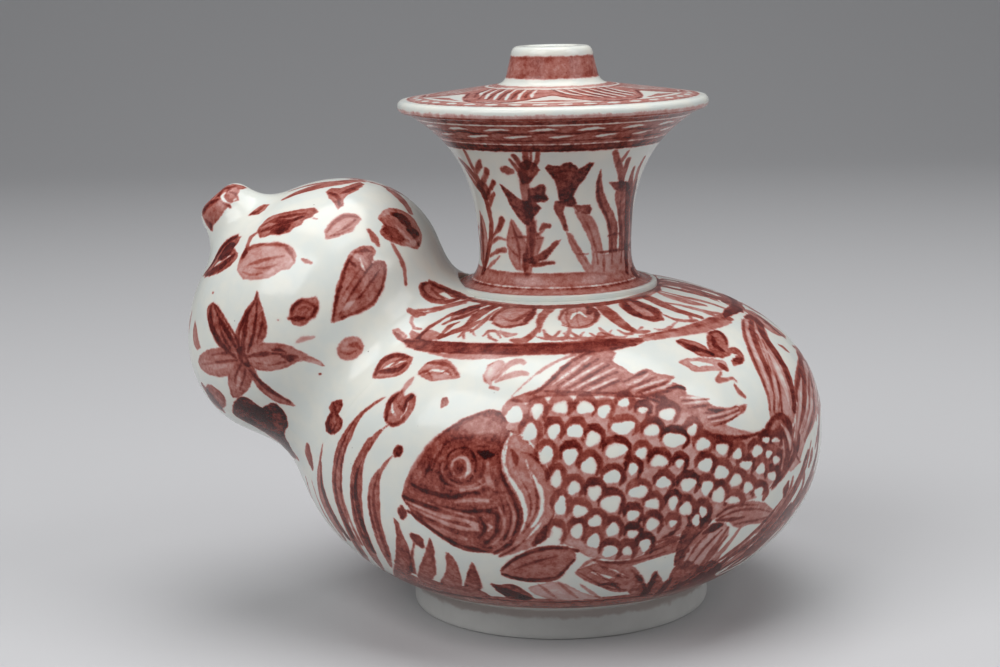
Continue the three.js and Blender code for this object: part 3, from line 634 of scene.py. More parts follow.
SPOUT_LINES = [
    (0.95, (3, 6, 3), [204, 210, 210, 203, 217, 200]),
    (0.7, (2, 4, 2), [219, 195, 226, 189, 234, 186]),
    (0.9, (2, 4, 2), [224, 203, 228, 205, 230, 207]),
    (0.8, (2, 4, 2), [206, 220, 210, 225, 212, 229]),
    (0.7, (1, 2, 1), [230, 192, 236, 194, 238, 200, 232, 202]),
    (0.8, (1, 3, 1), [251, 214, 258, 211, 265, 205]),
    (0.7, (1, 3, 2), [262, 226, 275, 219, 290, 216, 305, 213]),
    (0.9, (2, 4, 3), [262, 231, 276, 226, 290, 221, 302, 217]),
    (1, (4, 9, 4), [273, 231, 280, 230, 288, 226]),
    (0.8, (1, 4, 1), [268, 222, 280, 221, 293, 220]),
    (0.7, (1, 3, 3), [259, 231, 251, 237, 248, 244, 247, 250]),
    (0.9, (3, 4, 3), [247, 248, 245, 253, 243, 257]),
    (0.6, (1, 3, 1), [314, 218, 317, 219]),
    (0.9, (1, 3, 3), [205, 273, 213, 263, 219, 252, 227, 242, 236, 237]),
    (1, (3, 8, 3), [221, 256, 227, 251, 233, 246]),
    (0.9, (2, 5, 2), [206, 275, 216, 269, 226, 262, 234, 255]),
    (0.55, (1, 4, 3, 1), [248, 265, 260, 261, 272, 258, 284, 256]),
    (0.5, (1, 3, 1), [243, 272, 252, 275, 262, 273]),
    (0.6, (3, 5, 2), [286, 248, 291, 253, 294, 260]),
    (0.5, (1, 3, 1), [254, 268, 266, 268, 278, 264]),
    (0.6, (2, 4, 1), [244, 253, 252, 247, 265, 244]),
    (0.55, (2, 4, 2), [266, 245, 277, 244, 287, 246]),
    (0.6, (2, 4, 3), [302, 259, 306, 261, 311, 263]),
    (0.95, (2, 5, 4, 2), [211, 307, 210, 320, 215, 334, 224, 347, 236, 358]),
    (0.85, (1, 4, 3), [215, 308, 221, 322, 228, 334, 235, 346]),
    (0.9, (1, 3, 2), [213, 303, 220, 311, 227, 323, 235, 336, 240, 348]),
    (0.8, (1, 3, 2), [219, 320, 222, 334, 230, 348]),
    (0.9, (2, 3, 3, 2), [257, 293, 253, 305, 245, 318, 239, 332, 239, 348]),
    (0.95, (1, 5, 4), [249, 310, 246, 325, 243, 342, 243, 356]),
    (0.95, (1, 3, 3), [257, 300, 256, 318, 253, 336, 248, 352]),
    (0.7, (1, 3, 1), [262, 312, 262, 326, 257, 342]),
    (0.9, (3, 5, 2, 1), [246, 357, 262, 354, 280, 354, 298, 358]),
    (1, (3, 7, 3), [283, 356, 290, 358, 297, 357]),
    (0.95, (2, 5, 2), [272, 350, 280, 350, 286, 352]),
    (0.7, (1, 2, 1), [255, 363, 270, 365, 285, 362]),
    (0.8, (2, 3, 1), [242, 360, 228, 361, 214, 363, 202, 364]),
    (0.75, (1, 3, 1), [240, 356, 226, 353, 212, 355]),
    (0.8, (2, 3, 1), [241, 364, 236, 376, 236, 392]),
    (0.8, (1, 2, 1), [246, 366, 244, 378, 240, 390]),
    (1, (7, 9, 6), [240, 352, 243, 358, 247, 364]),
    (0.95, (3, 4, 2), [250, 370, 260, 382, 274, 393, 290, 402]),
    (0.6, (1, 3, 1), [192, 312, 190, 322, 189, 332]),
    (0.8, (2, 4, 2), [292, 314, 293, 306, 299, 302, 308, 302, 314, 306]),
    (0.95, (3, 5, 3), [289, 319, 297, 319, 305, 318]),
    (0.8, (2, 4, 3), [306, 320, 312, 316, 316, 308]),
    (0.6, (1, 2, 1), [299, 309, 305, 307, 310, 309, 306, 313]),
    (0.35, (3, 5, 2), [297, 342, 305, 339, 314, 337]),
    (1, (6, 12, 6), [242, 404, 256, 413, 268, 422]),
    (0.9, (2, 5, 2), [266, 432, 278, 441, 290, 450, 298, 459]),
    (0.95, (3, 7, 3), [203, 386, 211, 397, 222, 410]),
    (0.75, (1, 3, 2), [338, 232, 348, 226, 355, 220]),
    (0.6, (2, 4, 2), [327, 232, 335, 222, 346, 216, 357, 217]),
    (0.6, (1, 3, 1), [330, 236, 342, 233, 352, 228]),
    (0.75, (2, 6, 6, 3), [284, 199, 297, 193, 312, 188, 330, 184, 350, 181, 364, 180]),
    (0.7, (1, 3, 2), [290, 191, 306, 186, 322, 183, 340, 181]),
    (0.8, (2, 4, 2), [330, 193, 338, 197, 339, 206]),
    (0.7, (1, 3, 1), [340, 194, 350, 190, 360, 185]),
    (0.7, (3, 6, 5, 3), [366, 181, 378, 184, 389, 189, 398, 196, 406, 205, 410, 212]),
    (0.9, (1, 2, 1), [372, 182, 385, 187, 398, 197]),
    (1.3, (3, 8, 5), [392, 214, 399, 216, 406, 222, 409, 227]),
    (0.75, (3, 7, 3), [386, 232, 396, 237, 408, 241]),
    (1, (2, 5, 3), [411, 230, 415, 236, 418, 243]),
    (1.35, (4, 7, 4), [408, 230, 412, 231, 417, 233]),
    (0.6, (6, 12, 6), [386, 228, 394, 234, 402, 238]),
    (0.75, (3, 4, 3), [393, 245, 399, 256, 404, 268, 406, 284]),
    (0.7, (3, 8, 4), [369, 230, 373, 236, 378, 245]),
    (0.85, (2, 4, 3, 2), [333, 320, 336, 302, 341, 284, 347, 265, 356, 251]),
    (0.8, (1, 3, 2), [340, 314, 350, 296, 362, 278, 372, 264]),
    (0.7, (1, 2, 1), [341, 300, 350, 284, 361, 268]),
    (0.8, (1, 3, 1), [350, 308, 362, 294, 374, 278, 382, 266]),
    (0.75, (2, 3, 2), [342, 318, 358, 311, 372, 303, 382, 288, 385, 272]),
    (0.8, (2, 4, 2), [356, 252, 366, 250, 372, 252]),
    (1, (3, 5, 3), [351, 262, 353, 264, 355, 266]),
    (0.7, (3, 6, 3), [350, 345, 356, 344, 360, 348]),
    (0.5, (1, 3, 1), [341, 352, 349, 354, 357, 350]),
]
SPOUT_SPARED = [
    # A bare curve on the nipple by its mouth: a painted reflection of the rim
    ((2, 3, 3, 2), [226, 190, 222, 196, 226, 203, 234, 205]),
    ((1, 3, 1), [215, 266, 223, 260, 230, 256]),
    ((1, 2, 1), [360, 258, 362, 265, 365, 271]),
]
HEM_WASHES = [
    (0.66, [394, 572, 403, 574, 413, 575, 421, 579, 430, 579, 439, 582, 450, 583, 459, 586, 470, 586,
     480, 590, 488, 594, 496, 600, 480, 600, 458, 598, 438, 594, 420, 589, 404, 582]),
    (1, [491, 583, 498, 585, 508, 588, 518, 593, 528, 597, 531, 600, 522, 601, 512, 600, 503, 595,
     495, 589]),
    (0.22, [528, 588, 540, 584, 556, 582, 570, 586, 582, 592, 596, 596, 610, 598, 590, 601, 566, 601,
     546, 598, 534, 594]),
    (0.5, [590, 558, 606, 561, 622, 561, 640, 556, 656, 549, 672, 543, 688, 537, 702, 531, 708, 538,
     696, 545, 680, 551, 662, 556, 644, 562, 626, 567, 606, 567]),
    (0.75, [636, 592, 640, 584, 646, 590, 650, 580, 656, 570, 658, 578, 661, 586, 668, 578, 672, 584,
     680, 577, 684, 584, 694, 574, 698, 582, 712, 570, 716, 576, 706, 584, 690, 590, 672, 595, 654, 598,
     638, 600]),
    (0.85, [694, 515, 706, 512, 712, 520, 704, 530, 692, 540, 688, 552, 682, 562, 674, 566, 676, 552,
     680, 538, 686, 526]),
    (0.8, [676, 566, 688, 560, 700, 566, 712, 560, 722, 566, 708, 580, 690, 590, 668, 594, 668, 580]),
]
HEM_LINES = [
    (0.8, (1, 3, 1), [400, 577, 424, 588, 450, 594, 480, 599]),
    (1, (3, 6, 5), [496, 587, 508, 592, 524, 598]),
    (0.4, (1, 3, 1), [538, 584, 546, 590, 556, 598]),
    (0.4, (1, 3, 1), [558, 582, 566, 589, 578, 598]),
    (0.4, (1, 3, 1), [580, 584, 588, 590, 600, 598]),
    (0.8, (1, 4, 3), [632, 570, 640, 580, 646, 590]),
    (0.55, (1, 3, 1), [578, 570, 588, 562, 600, 558]),
    (0.9, (1, 4, 3), [657, 571, 652, 582, 644, 594]),
    (0.85, (1, 3, 2), [672, 578, 664, 588, 656, 596]),
    (0.8, (1, 3, 2), [692, 576, 680, 586, 668, 594]),
    (1, (2, 5, 5, 2), [819, 432, 816, 456, 808, 482, 795, 505, 778, 527, 758, 547, 736, 563]),
    (0.8, (1, 2.5, 2.5, 1), [811, 442, 806, 466, 796, 489, 782, 511, 765, 531, 745, 549, 722, 566]),
    (0.95, (2, 4, 4, 2), [808, 452, 800, 476, 788, 499, 772, 521, 752, 541, 730, 557, 708, 572]),
    (1, (2, 5, 4, 2), [790, 505, 772, 528, 750, 549, 726, 566, 700, 581]),
    (0.85, (1, 3, 3, 1), [782, 500, 766, 520, 746, 540, 724, 557, 702, 571]),
    (1, (3, 6, 5, 2), [768, 545, 746, 562, 722, 577, 698, 588]),
    (0.9, (1, 3.5, 2), [755, 536, 735, 553, 714, 569, 692, 582]),
    (0.8, (1, 3, 3, 1), [818, 400, 819, 424, 815, 448]),
    (0.6, (1, 3, 2), [818, 372, 820, 396, 819, 420]),
    (1.05, (3, 6, 4), [740, 566, 716, 580, 694, 590, 672, 598]),
    (1, (1.2, 2, 1.2), [212.5, 293, 213.5, 293]),
    (1, (1.2, 2, 1.2), [277.5, 320, 278.5, 320]),
    (1, (1.2, 2.2, 1.2), [319.5, 374, 320.5, 374]),
]
HEM_SPARED = [
    ((1, 3, 1), [592, 572, 602, 576, 614, 578]),
    ((1, 2.5, 1), [604, 568, 614, 571, 624, 576]),
]
NECK_WASHES = [
    (0.6, [479, 180, 486, 184, 490, 192, 489, 200, 484, 200, 480, 192, 476, 185]),
    (0.4, [481, 214, 486, 228, 488, 246, 487, 260, 484, 270, 481, 258, 480, 236]),
    (0.8, [519, 164, 526, 160, 536, 164, 540, 170, 534, 177, 529, 184, 522, 184, 518, 174]),
    (0.95, [500, 184, 507, 189, 516, 196, 524, 201, 532, 200, 534, 208, 533, 218, 530, 226, 524, 224,
     516, 214, 509, 203, 505, 194]),
    (0.85, [528, 190, 535, 187, 543, 184, 546, 188, 545, 194, 549, 199, 544, 202, 536, 203, 542, 208,
     538, 213, 533, 217, 529, 206]),
    (0.42, [511, 219, 517, 226, 522, 234, 527, 244, 529, 256, 528, 270, 517, 270, 511, 262, 508, 250,
     507, 238]),
    (0.45, [530, 222, 536, 221, 537, 232, 543, 238, 541, 247, 536, 258, 530, 262]),
    (0.82, [523, 260, 532, 257, 542, 252, 550, 246, 557, 240, 562, 239, 557, 246, 550, 254, 546, 259,
     538, 262, 530, 264]),
    (1, [545, 168, 548, 165, 554, 166, 560, 166, 564, 163, 571, 162, 576, 166, 578, 170, 584, 166, 590, 162,
     594, 163, 590, 170, 585, 178, 580, 184, 576, 190, 573, 196, 577, 203, 574, 207, 566, 206, 560, 203,
     558, 194, 557, 186, 553, 178, 548, 172]),
    (0.85, [555, 202, 563, 200, 565, 206, 563, 212, 566, 220, 568, 231, 565, 231, 561, 222, 557, 215,
     554, 209]),
    (0.4, [566, 232, 571, 233, 575, 240, 581, 249, 587, 258, 593, 268, 595, 273, 586, 272, 581, 264,
     575, 255, 570, 246]),
    (0.8, [574, 205, 582, 205, 590, 205, 592, 209, 590, 214, 583, 215, 577, 213]),
    (0.42, [573, 205, 577, 211, 585, 214, 592, 216, 597, 226, 600, 236, 603, 250, 605, 270, 594, 272,
     592, 258, 591, 246, 586, 234, 580, 222, 575, 212]),
    (0.6, [601, 169, 598, 176, 596, 186, 596, 198, 600, 208, 605, 218, 608, 229, 609, 242, 609, 270,
     616, 272, 617, 256, 617, 240, 618, 228, 614, 214, 609, 204, 604, 192, 602, 180]),
    (0.9, [609, 182, 616, 182, 622, 180, 628, 182, 630, 188, 626, 194, 618, 192, 613, 188]),
    (0.65, [616, 190, 624, 192, 630, 190, 630, 206, 629, 224, 629, 244, 632, 262, 635, 274, 617, 274,
     618, 256, 619, 238, 618, 216, 615, 200]),
    (0.6, [637, 176, 636, 188, 633, 202, 632, 220, 631, 240, 633, 258, 638, 274, 630, 274, 628, 256,
     628, 232, 630, 206]),
    (0.35, [594, 254, 606, 254, 618, 252, 628, 250, 630, 262, 632, 274, 594, 274]),
]
NECK_LINES = [
    (0.85, (3, 4, 4, 4, 3), [483, 272, 486, 262, 489, 248, 491, 236, 491, 222, 488, 207, 484, 194, 478, 182,
     470, 171, 461, 161]),
    (0.7, (2, 3, 2), [464, 150, 470, 162, 477, 176, 482, 188]),
    (0.7, (1, 3, 2), [466, 170, 474, 182, 483, 194, 488, 204]),
    (0.8, (2, 6, 4), [480, 160, 479, 165, 476, 172]),
    (0.75, (5, 5, 4), [487, 170, 485, 177, 482, 184]),
    (0.8, (5, 4, 3), [494, 182, 491, 188, 487, 194]),
    (0.75, (4, 4, 2), [494, 194, 491, 200, 489, 208]),
    (0.8, (6, 5, 2), [502, 220, 499, 228, 493, 236]),
    (0.65, (1, 4, 2), [506, 240, 498, 238, 491, 244]),
    (0.75, (5, 4, 2), [505, 250, 498, 251, 490, 256]),
    (0.6, (1, 3, 2), [500, 256, 494, 262, 488, 268]),
    (0.6, (1, 3, 2), [480, 212, 482, 230, 483, 250, 484, 266]),
    (0.5, (1, 2, 1), [476, 222, 480, 240, 481, 258]),
    (0.62, (8, 9, 9, 8, 9, 8), [528, 272, 529, 258, 531, 240, 530, 220, 526, 200, 524, 180, 524, 168]),
    (0.85, (6, 6, 6), [525, 152, 526, 160, 527, 168]),
    (0.8, (5, 5, 4), [538, 150, 537, 160, 532, 170]),
    (0.85, (4, 5, 4), [514, 156, 518, 162, 522, 168]),
    (0.8, (3, 4, 4), [510, 160, 515, 166, 521, 173]),
    (0.75, (3, 3, 2), [531, 152, 531, 160, 529, 168]),
    (0.85, (5, 8, 5), [503, 170, 507, 170, 511, 171]),
    (1, (3, 5, 3), [530, 197, 538, 197, 546, 198]),
    (0.6, (1, 3, 1), [512, 238, 524, 237, 534, 239, 543, 238]),
    (0.6, (1, 3, 1), [511, 222, 516, 236, 519, 250, 520, 266]),
    (0.55, (1, 2, 1), [508, 246, 515, 254, 522, 258]),
    (0.85, (3, 6, 4), [540, 230, 544, 226, 549, 226]),
    (0.6, (2, 3, 1), [536, 236, 541, 232, 545, 229]),
    (0.9, (5, 5, 3), [524, 266, 536, 265, 547, 263, 554, 263]),
    (0.9, (6, 6, 4), [526, 256, 525, 264, 526, 272]),
    (0.75, (1, 3, 1), [577, 254, 583, 254, 588, 254]),
    (0.5, (1, 3, 1), [583, 217, 590, 230, 595, 246, 598, 264]),
    (0.5, (1, 3, 1), [571, 238, 579, 250, 588, 264]),
    (0.85, (1, 3, 1), [594, 252, 605, 252, 614, 250, 624, 249, 630, 244]),
    (0.8, (1, 3, 2), [600, 172, 598, 188, 600, 202, 607, 216, 611, 232]),
    (0.6, (1, 2, 1), [611, 222, 612, 240, 612, 264]),
    (0.7, (1, 3, 1), [608, 236, 614, 234, 620, 233]),
    (0.85, (6, 7, 5), [615, 152, 617, 160, 621, 172, 622, 184]),
    (0.8, (4, 4, 4), [628, 160, 625, 170, 622, 182]),
    (0.6, (2, 3, 2), [628, 152, 624, 158, 620, 164]),
    (0.9, (3, 4, 3), [628, 184, 627, 204, 627, 226, 626, 246, 627, 272]),
    (0.8, (2, 3, 3), [644, 158, 639, 168, 636, 178, 633, 192, 631, 210]),
    (0.85, (2, 5, 4), [634, 168, 631, 178, 630, 190, 629, 204]),
    (0.9, (2, 4, 5), [636, 180, 632, 206, 631, 232, 631, 252, 634, 272]),
    (0.6, (1, 3, 1), [621, 196, 620, 216, 622, 240, 621, 262]),
    (0.5, (1, 3, 1), [604, 256, 604, 264, 604, 272]),
]
INSECT_WASHES = [
    (0.62, [676, 341, 681, 339, 690, 340, 699, 343, 706, 347, 709, 350, 707, 343, 707, 336, 710, 331,
     717, 330, 724, 334, 728, 341, 728, 348, 735, 347, 740, 350, 744, 356, 745, 361, 740, 365, 733, 366,
     731, 361, 736, 358, 734, 354, 729, 356, 722, 358, 712, 357, 702, 357, 694, 353, 685, 348, 679, 345]),
    (0.32, [677, 362, 684, 359, 694, 358, 706, 358, 718, 359, 726, 362, 728, 368, 722, 371, 712, 371,
     702, 372, 692, 371, 688, 367, 681, 364]),
]
INSECT_LINES = [
    (0.95, (3, 7, 3), [684, 344, 690, 347, 698, 350]),
    (0.85, (2, 3, 3), [679, 342, 690, 345, 702, 350, 712, 354]),
    (0.8, (2, 5, 3), [712, 336, 716, 346, 722, 350]),
    (0.6, (1, 3, 1), [709, 334, 716, 331, 723, 335, 727, 344]),
    (0.85, (4, 5, 4), [720, 365, 723, 367, 726, 369]),
    (0.85, (3, 6, 3), [735, 360, 739, 361, 742, 358]),
    (0.6, (3, 5, 3, 1), [721, 372, 718, 380, 724, 380, 733, 378, 737, 382]),
    (0.7, (2, 4, 3), [735, 385, 739, 392, 745, 397]),
]
INSECT_SPARED = [
    ((1, 5, 4, 1), [690, 362, 698, 364, 706, 364, 713, 365]),
    ((1, 4, 1), [729, 360, 733, 355, 737, 355]),
]
BLOSSOM_WASHES = [
    (0.17, [486, 369, 488, 365, 493, 362, 498, 360, 503, 361, 505, 364, 501, 369, 497, 374, 492, 379,
     492, 386, 495, 389, 491, 390, 488, 385, 484, 380, 483, 375]),
]
BLOSSOM_LINES = [
    (0.3, (2, 4, 6, 4), [497, 377, 504, 369, 512, 363, 520, 361, 524, 363]),
    (0.34, (2, 5, 6, 4), [496, 382, 504, 378, 513, 375, 522, 373, 527, 374]),
    (0.34, (3, 4, 3), [490, 387, 494, 388, 498, 389]),
    (0.36, (1, 2.5, 1), [486, 369, 489, 365, 495, 362]),
    (0.34, (1, 2.5, 1), [483, 374, 485, 381, 490, 386]),
    (0.42, (2, 4, 2), [492, 380, 497, 377, 501, 373]),
]
SHOULDER_WASHES = [
    (0.5, [468, 297, 480, 299, 500, 302, 530, 305, 560, 305, 600, 302, 620, 299, 640, 293, 652, 287,
     657, 280, 662, 284, 660, 290, 650, 296, 636, 300, 620, 303, 600, 306, 575, 308, 545, 309, 520, 308,
     495, 306, 475, 302]),
    (0.7, [422, 283, 430, 281, 440, 287, 450, 289, 460, 292, 469, 297, 464, 300, 452, 297, 444, 292,
     438, 294, 446, 299, 436, 300, 427, 294, 421, 290]),
    (0.5, [455, 312, 470, 307, 482, 306, 474, 314, 462, 319, 450, 320]),
    (0.45, [412, 330, 420, 334, 428, 329, 440, 333, 452, 334, 440, 339, 425, 340, 410, 338]),
    (0.42, [490, 319, 494, 314, 500, 309, 510, 306, 522, 306, 532, 308, 537, 309, 534, 316, 528, 323,
     518, 326, 506, 328, 497, 326]),
    (0.42, [558, 318, 561, 312, 567, 308, 576, 306, 588, 306, 596, 309, 600, 315, 597, 321, 590, 325,
     580, 328, 569, 327, 562, 324]),
    (0.5, [621, 304, 627, 301, 636, 301, 645, 303, 655, 308, 661, 315, 659, 319, 651, 320, 640, 318,
     630, 314, 624, 310]),
    (0.5, [598, 332, 606, 333, 615, 336, 628, 336, 624, 340, 608, 341, 596, 340]),
    (0.45, [652, 282, 668, 282, 690, 285, 706, 289, 700, 291, 684, 288, 664, 285]),
    (0.85, [722, 314, 726, 308, 732, 304, 731, 299, 727, 294, 733, 295, 740, 298, 742, 305, 744, 309,
     738, 313, 731, 316, 725, 318]),
    (0.45, [392, 330, 398, 328, 404, 332, 408, 336, 402, 342, 396, 338]),
    (0.55, [403, 340, 412, 338, 425, 340, 440, 341, 470, 343, 500, 344, 540, 344, 570, 343, 600, 340,
     625, 338, 642, 338, 645, 342, 630, 347, 615, 350, 600, 352, 570, 354, 540, 355, 500, 355, 470, 354,
     440, 353, 420, 351, 408, 347]),
    (0.5, [498, 312, 504, 307, 512, 305, 522, 307, 528, 312, 526, 320, 518, 325, 508, 326, 500, 321]),
    (0.5, [565, 311, 570, 306, 578, 304, 588, 306, 594, 311, 592, 319, 585, 325, 575, 325, 567, 319]),
    (0.5, [627, 305, 634, 302, 643, 303, 652, 307, 657, 312, 652, 317, 643, 317, 634, 313]),
]
SHOULDER_LINES = [
    (0.75, (2, 3, 4, 3, 2), [470, 300, 500, 305, 545, 307, 600, 304, 634, 298, 656, 288]),
    (0.85, (2, 5, 3), [655, 279, 656, 285, 658, 291]),
    (1, (3, 6, 5, 2), [431, 282, 422, 285, 423, 293, 432, 300, 445, 302, 458, 299]),
    (0.85, (4, 5, 4, 2), [430, 282, 438, 286, 448, 290, 460, 296, 469, 299]),
    (0.6, (2, 3, 2), [432, 289, 438, 295, 447, 299]),
    (0.8, (2, 4, 3, 2), [469, 300, 455, 304, 440, 308, 424, 310, 411, 311]),
    (0.75, (1, 3, 2), [466, 303, 448, 307, 430, 312, 418, 315]),
    (0.9, (5, 8, 4), [410, 311, 416, 314, 423, 314]),
    (0.7, (3, 4, 3, 2), [414, 313, 411, 322, 414, 328, 421, 329]),
    (0.95, (3, 5, 4, 2), [484, 305, 472, 308, 462, 312, 450, 315, 446, 317]),
    (0.9, (1, 3, 3, 3), [446, 317, 438, 322, 430, 327, 423, 333, 418, 338]),
    (0.75, (1, 3, 2), [478, 310, 464, 316, 452, 320, 444, 324]),
    (0.75, (1, 3, 3, 2), [459, 322, 450, 326, 444, 332, 438, 337]),
    (0.95, (3, 5, 6, 3), [499, 305, 488, 309, 478, 315, 471, 322, 465, 327]),
    (0.85, (2, 6, 4, 2), [480, 321, 470, 326, 459, 330, 448, 334, 440, 338]),
    (0.7, (1, 3, 2), [499, 309, 490, 315, 480, 325, 471, 332]),
    (0.6, (2, 3, 2), [466, 329, 463, 334, 464, 339]),
    (0.7, (2, 3, 3, 2), [491, 320, 497, 313, 508, 307, 522, 306, 534, 307]),
    (0.7, (2, 3, 2), [493, 323, 502, 327, 515, 326, 527, 323]),
    (0.9, (2, 5, 4), [536, 307, 532, 314, 526, 321]),
    (0.6, (1, 3, 2), [504, 318, 512, 321, 524, 316, 530, 311]),
    (0.7, (2, 3, 2), [559, 320, 563, 311, 572, 307]),
    (0.65, (1, 3, 2), [562, 325, 575, 328, 590, 325, 599, 317]),
    (0.95, (3, 7, 4), [586, 305, 591, 309, 589, 314]),
    (0.8, (3, 6, 3), [594, 309, 597, 314, 595, 320]),
    (0.5, (1, 2, 1), [577, 309, 577, 318, 579, 326]),
    (0.6, (1, 3, 1), [568, 309, 566, 317, 569, 325]),
    (0.95, (4, 6, 5, 3), [622, 302, 626, 307, 632, 312, 642, 317]),
    (0.95, (3, 4, 3), [634, 301, 643, 306, 650, 308]),
    (0.9, (3, 5, 5), [642, 317, 651, 319, 659, 318]),
    (0.9, (3, 7, 4), [649, 307, 656, 312, 660, 318]),
    (0.8, (3, 6, 6, 5, 3), [512, 340, 520, 341, 528, 338, 535, 332, 540, 326]),
    (0.75, (4, 7, 6, 4), [539, 332, 540, 322, 544, 314, 552, 308]),
    (0.7, (2, 5, 4, 3), [543, 330, 548, 337, 557, 339, 566, 338]),
    (0.7, (3, 5, 3), [566, 338, 569, 332, 570, 327]),
    (0.65, (2, 4, 4), [570, 332, 578, 337, 588, 339, 598, 338]),
    (0.85, (6, 8, 7, 6, 3), [603, 308, 610, 314, 618, 321, 628, 328, 638, 332]),
    (0.7, (3, 4, 2), [636, 332, 643, 332, 649, 331]),
    (0.6, (2, 4, 2), [600, 328, 604, 333, 612, 335]),
    (0.5, (2, 5, 2), [500, 331, 508, 335, 516, 334]),
    (0.6, (1, 3, 1), [487, 332, 490, 338, 497, 341]),
    (0.85, (5, 5, 4, 3), [649, 298, 662, 304, 676, 310, 690, 314, 700, 317]),
    (0.7, (1, 3, 2), [662, 314, 674, 319, 688, 321, 696, 320]),
    (0.65, (2, 3, 1), [690, 316, 692, 320, 686, 322]),
    (0.9, (2, 3, 4, 5, 3), [658, 285, 676, 289, 694, 293, 712, 297, 728, 299]),
    (0.55, (1, 5, 6, 2), [655, 291, 672, 297, 690, 302, 704, 305]),
    (0.6, (1, 3, 2), [660, 291, 684, 297, 706, 302, 724, 308]),
    (0.6, (1, 3, 2), [662, 302, 684, 306, 704, 311, 722, 314]),
    (0.8, (1, 3, 3, 2), [688, 286, 704, 290, 718, 294, 730, 296]),
    (0.55, (1, 4, 5, 3), [653, 280, 672, 283, 692, 286, 712, 290]),
    (0.5, (1, 2, 1), [672, 279, 694, 282, 714, 288, 728, 293]),
    (0.6, (1, 3, 2), [694, 308, 708, 313, 720, 318]),
    (1, (4, 8, 5), [729, 296, 734, 302, 737, 309]),
    (0.7, (2, 5, 3), [395, 333, 399, 336, 403, 340]),
    (0.95, (3, 5, 4, 4, 5, 7, 3), [404, 341, 425, 343, 470, 345, 520, 345, 570, 344, 600, 342, 640, 341]),
    (0.8, (2, 4, 5, 4, 4, 3), [408, 346, 430, 350, 480, 352, 540, 352, 600, 350, 634, 344]),
    (1, (1, 5, 6, 3), [418, 338, 423, 341, 432, 344, 446, 347]),
    (0.5, (1, 6, 6, 1), [425, 352, 455, 356, 490, 356, 530, 354]),
    (0.95, (1, 3, 3, 2, 4, 6, 4), [640, 336, 655, 334, 670, 331, 684, 329, 700, 325, 712, 321, 729, 318]),
    (0.6, (3, 6, 7, 6, 4), [636, 341, 655, 337, 680, 332, 704, 328, 728, 321]),
    (0.85, (4, 7, 8, 7, 5, 3), [406, 341, 430, 347.5, 470, 350.5, 520, 350.5, 580, 347.5, 622, 343,
     648, 337.5]),
    (0.8, (3, 4, 4, 3), [648, 337.5, 680, 330, 712, 320, 738, 309]),
    (0.65, (1.5, 3, 1.5), [459, 337, 464, 331, 471, 330, 475, 336]),
    (0.65, (1.5, 3, 1.5), [483, 336, 489, 331, 497, 332, 501, 338]),
    (0.65, (1.5, 3, 1.5), [538, 337, 546, 339, 554, 337, 560, 331]),
    (0.65, (1.5, 3, 1.5), [564, 333, 570, 338, 578, 338, 584, 332]),
    (0.65, (1.5, 3, 1.5), [590, 333, 597, 337, 606, 336, 612, 330]),
    (0.6, (1.5, 3, 1.5), [618, 330, 626, 334, 636, 332, 642, 327]),
    (0.6, (1.5, 3, 1.5), [655, 329, 664, 330, 672, 326, 678, 321]),
]
SHOULDER_SPARED = [
    ((1, 2, 1.5, 1), [571, 319, 574, 314, 580, 312, 586, 317]),
]


def tilted(angle):
    """The direction that leans from upright towards the spout's side, by its angle above level."""
    return np.array([-math.cos(angle), 0, math.sin(angle)])


BULB_CENTRE = np.array([-BULB_FROM_AXIS, 0, BULB_HEIGHT])
BULB_AXIS = tilted(BULB_TILT)
TIP_AXIS = tilted(TIP_TILT)
TIP_SEAM = TIP_REACH - TIP_LENGTH
SKIN_EYE = BULB_CENTRE - BULB_ALONG * TIP_AXIS


def superellipse(share, power):
    """The height left on a rounded outline, 1 at its middle and 0 at its edge."""
    return (1 - np.minimum(share, 1) ** power) ** (1 / power)


def belly_distance(points):
    """How far points stand off the belly's surface, negative inside it."""
    above = points[:, 2] > BELLY_HEIGHT
    power = np.where(above, CROWN_POWER, KEEL_POWER)
    height = np.where(above, CROWN_RISE, KEEL_DROP)
    r = np.hypot(points[:, 0], points[:, 1]) / BELLY_RADIUS + 1e-9
    z = np.abs(points[:, 2] - BELLY_HEIGHT) / height + 1e-9
    total = r**power + z**power
    steepness = total ** (1 / power - 1)
    slope = np.hypot(r ** (power - 1) / BELLY_RADIUS, z ** (power - 1) / height) * steepness
    return (total ** (1 / power) - 1) / slope


def along_and_across(points, axis):
    """Where points lie along an axis through the bulb's centre, and how far from that axis."""
    out = points - BULB_CENTRE
    along = out @ axis
    across = np.sqrt(np.maximum((out * out).sum(1) - along * along, 0))
    return along, across


def bulb_distance(points):
    along, across = along_and_across(points, BULB_AXIS)
    size = np.hypot(along / BULB_ALONG, across / BULB_ACROSS) + 1e-9
    slope = np.hypot(along / BULB_ALONG**2, across / BULB_ACROSS**2) / size + 1e-9
    return (size - 1) / slope


def blend(a, b, fillet):
    """The nearer of two distances, rounded where they come close."""
    near = np.maximum(fillet - np.abs(a - b), 0) / fillet
    return np.minimum(a, b) - near * near * fillet / 4


def tip_distance(points):
    along, across = along_and_across(points, TIP_AXIS)
    side = across - TIP_RADIUS - TIP_TAPER * (TIP_REACH - along)
    return -blend(-side, TIP_REACH - along, TIP_ROUNDING)


def body_distance(points):
    """How far points stand off the belly, the spout and the slip that blends them."""
    spout = blend(bulb_distance(points), tip_distance(points), TIP_FILLET)
    return blend(spout, belly_distance(points), SLIP_FILLET)


def quadratic(start, pull, end):
    t = np.linspace(0, 1, CURVE_POINTS)[:, None]
    return (1 - t) ** 2 * np.array(start) + 2 * t * (1 - t) * np.array(pull) + t * t * np.array(end)


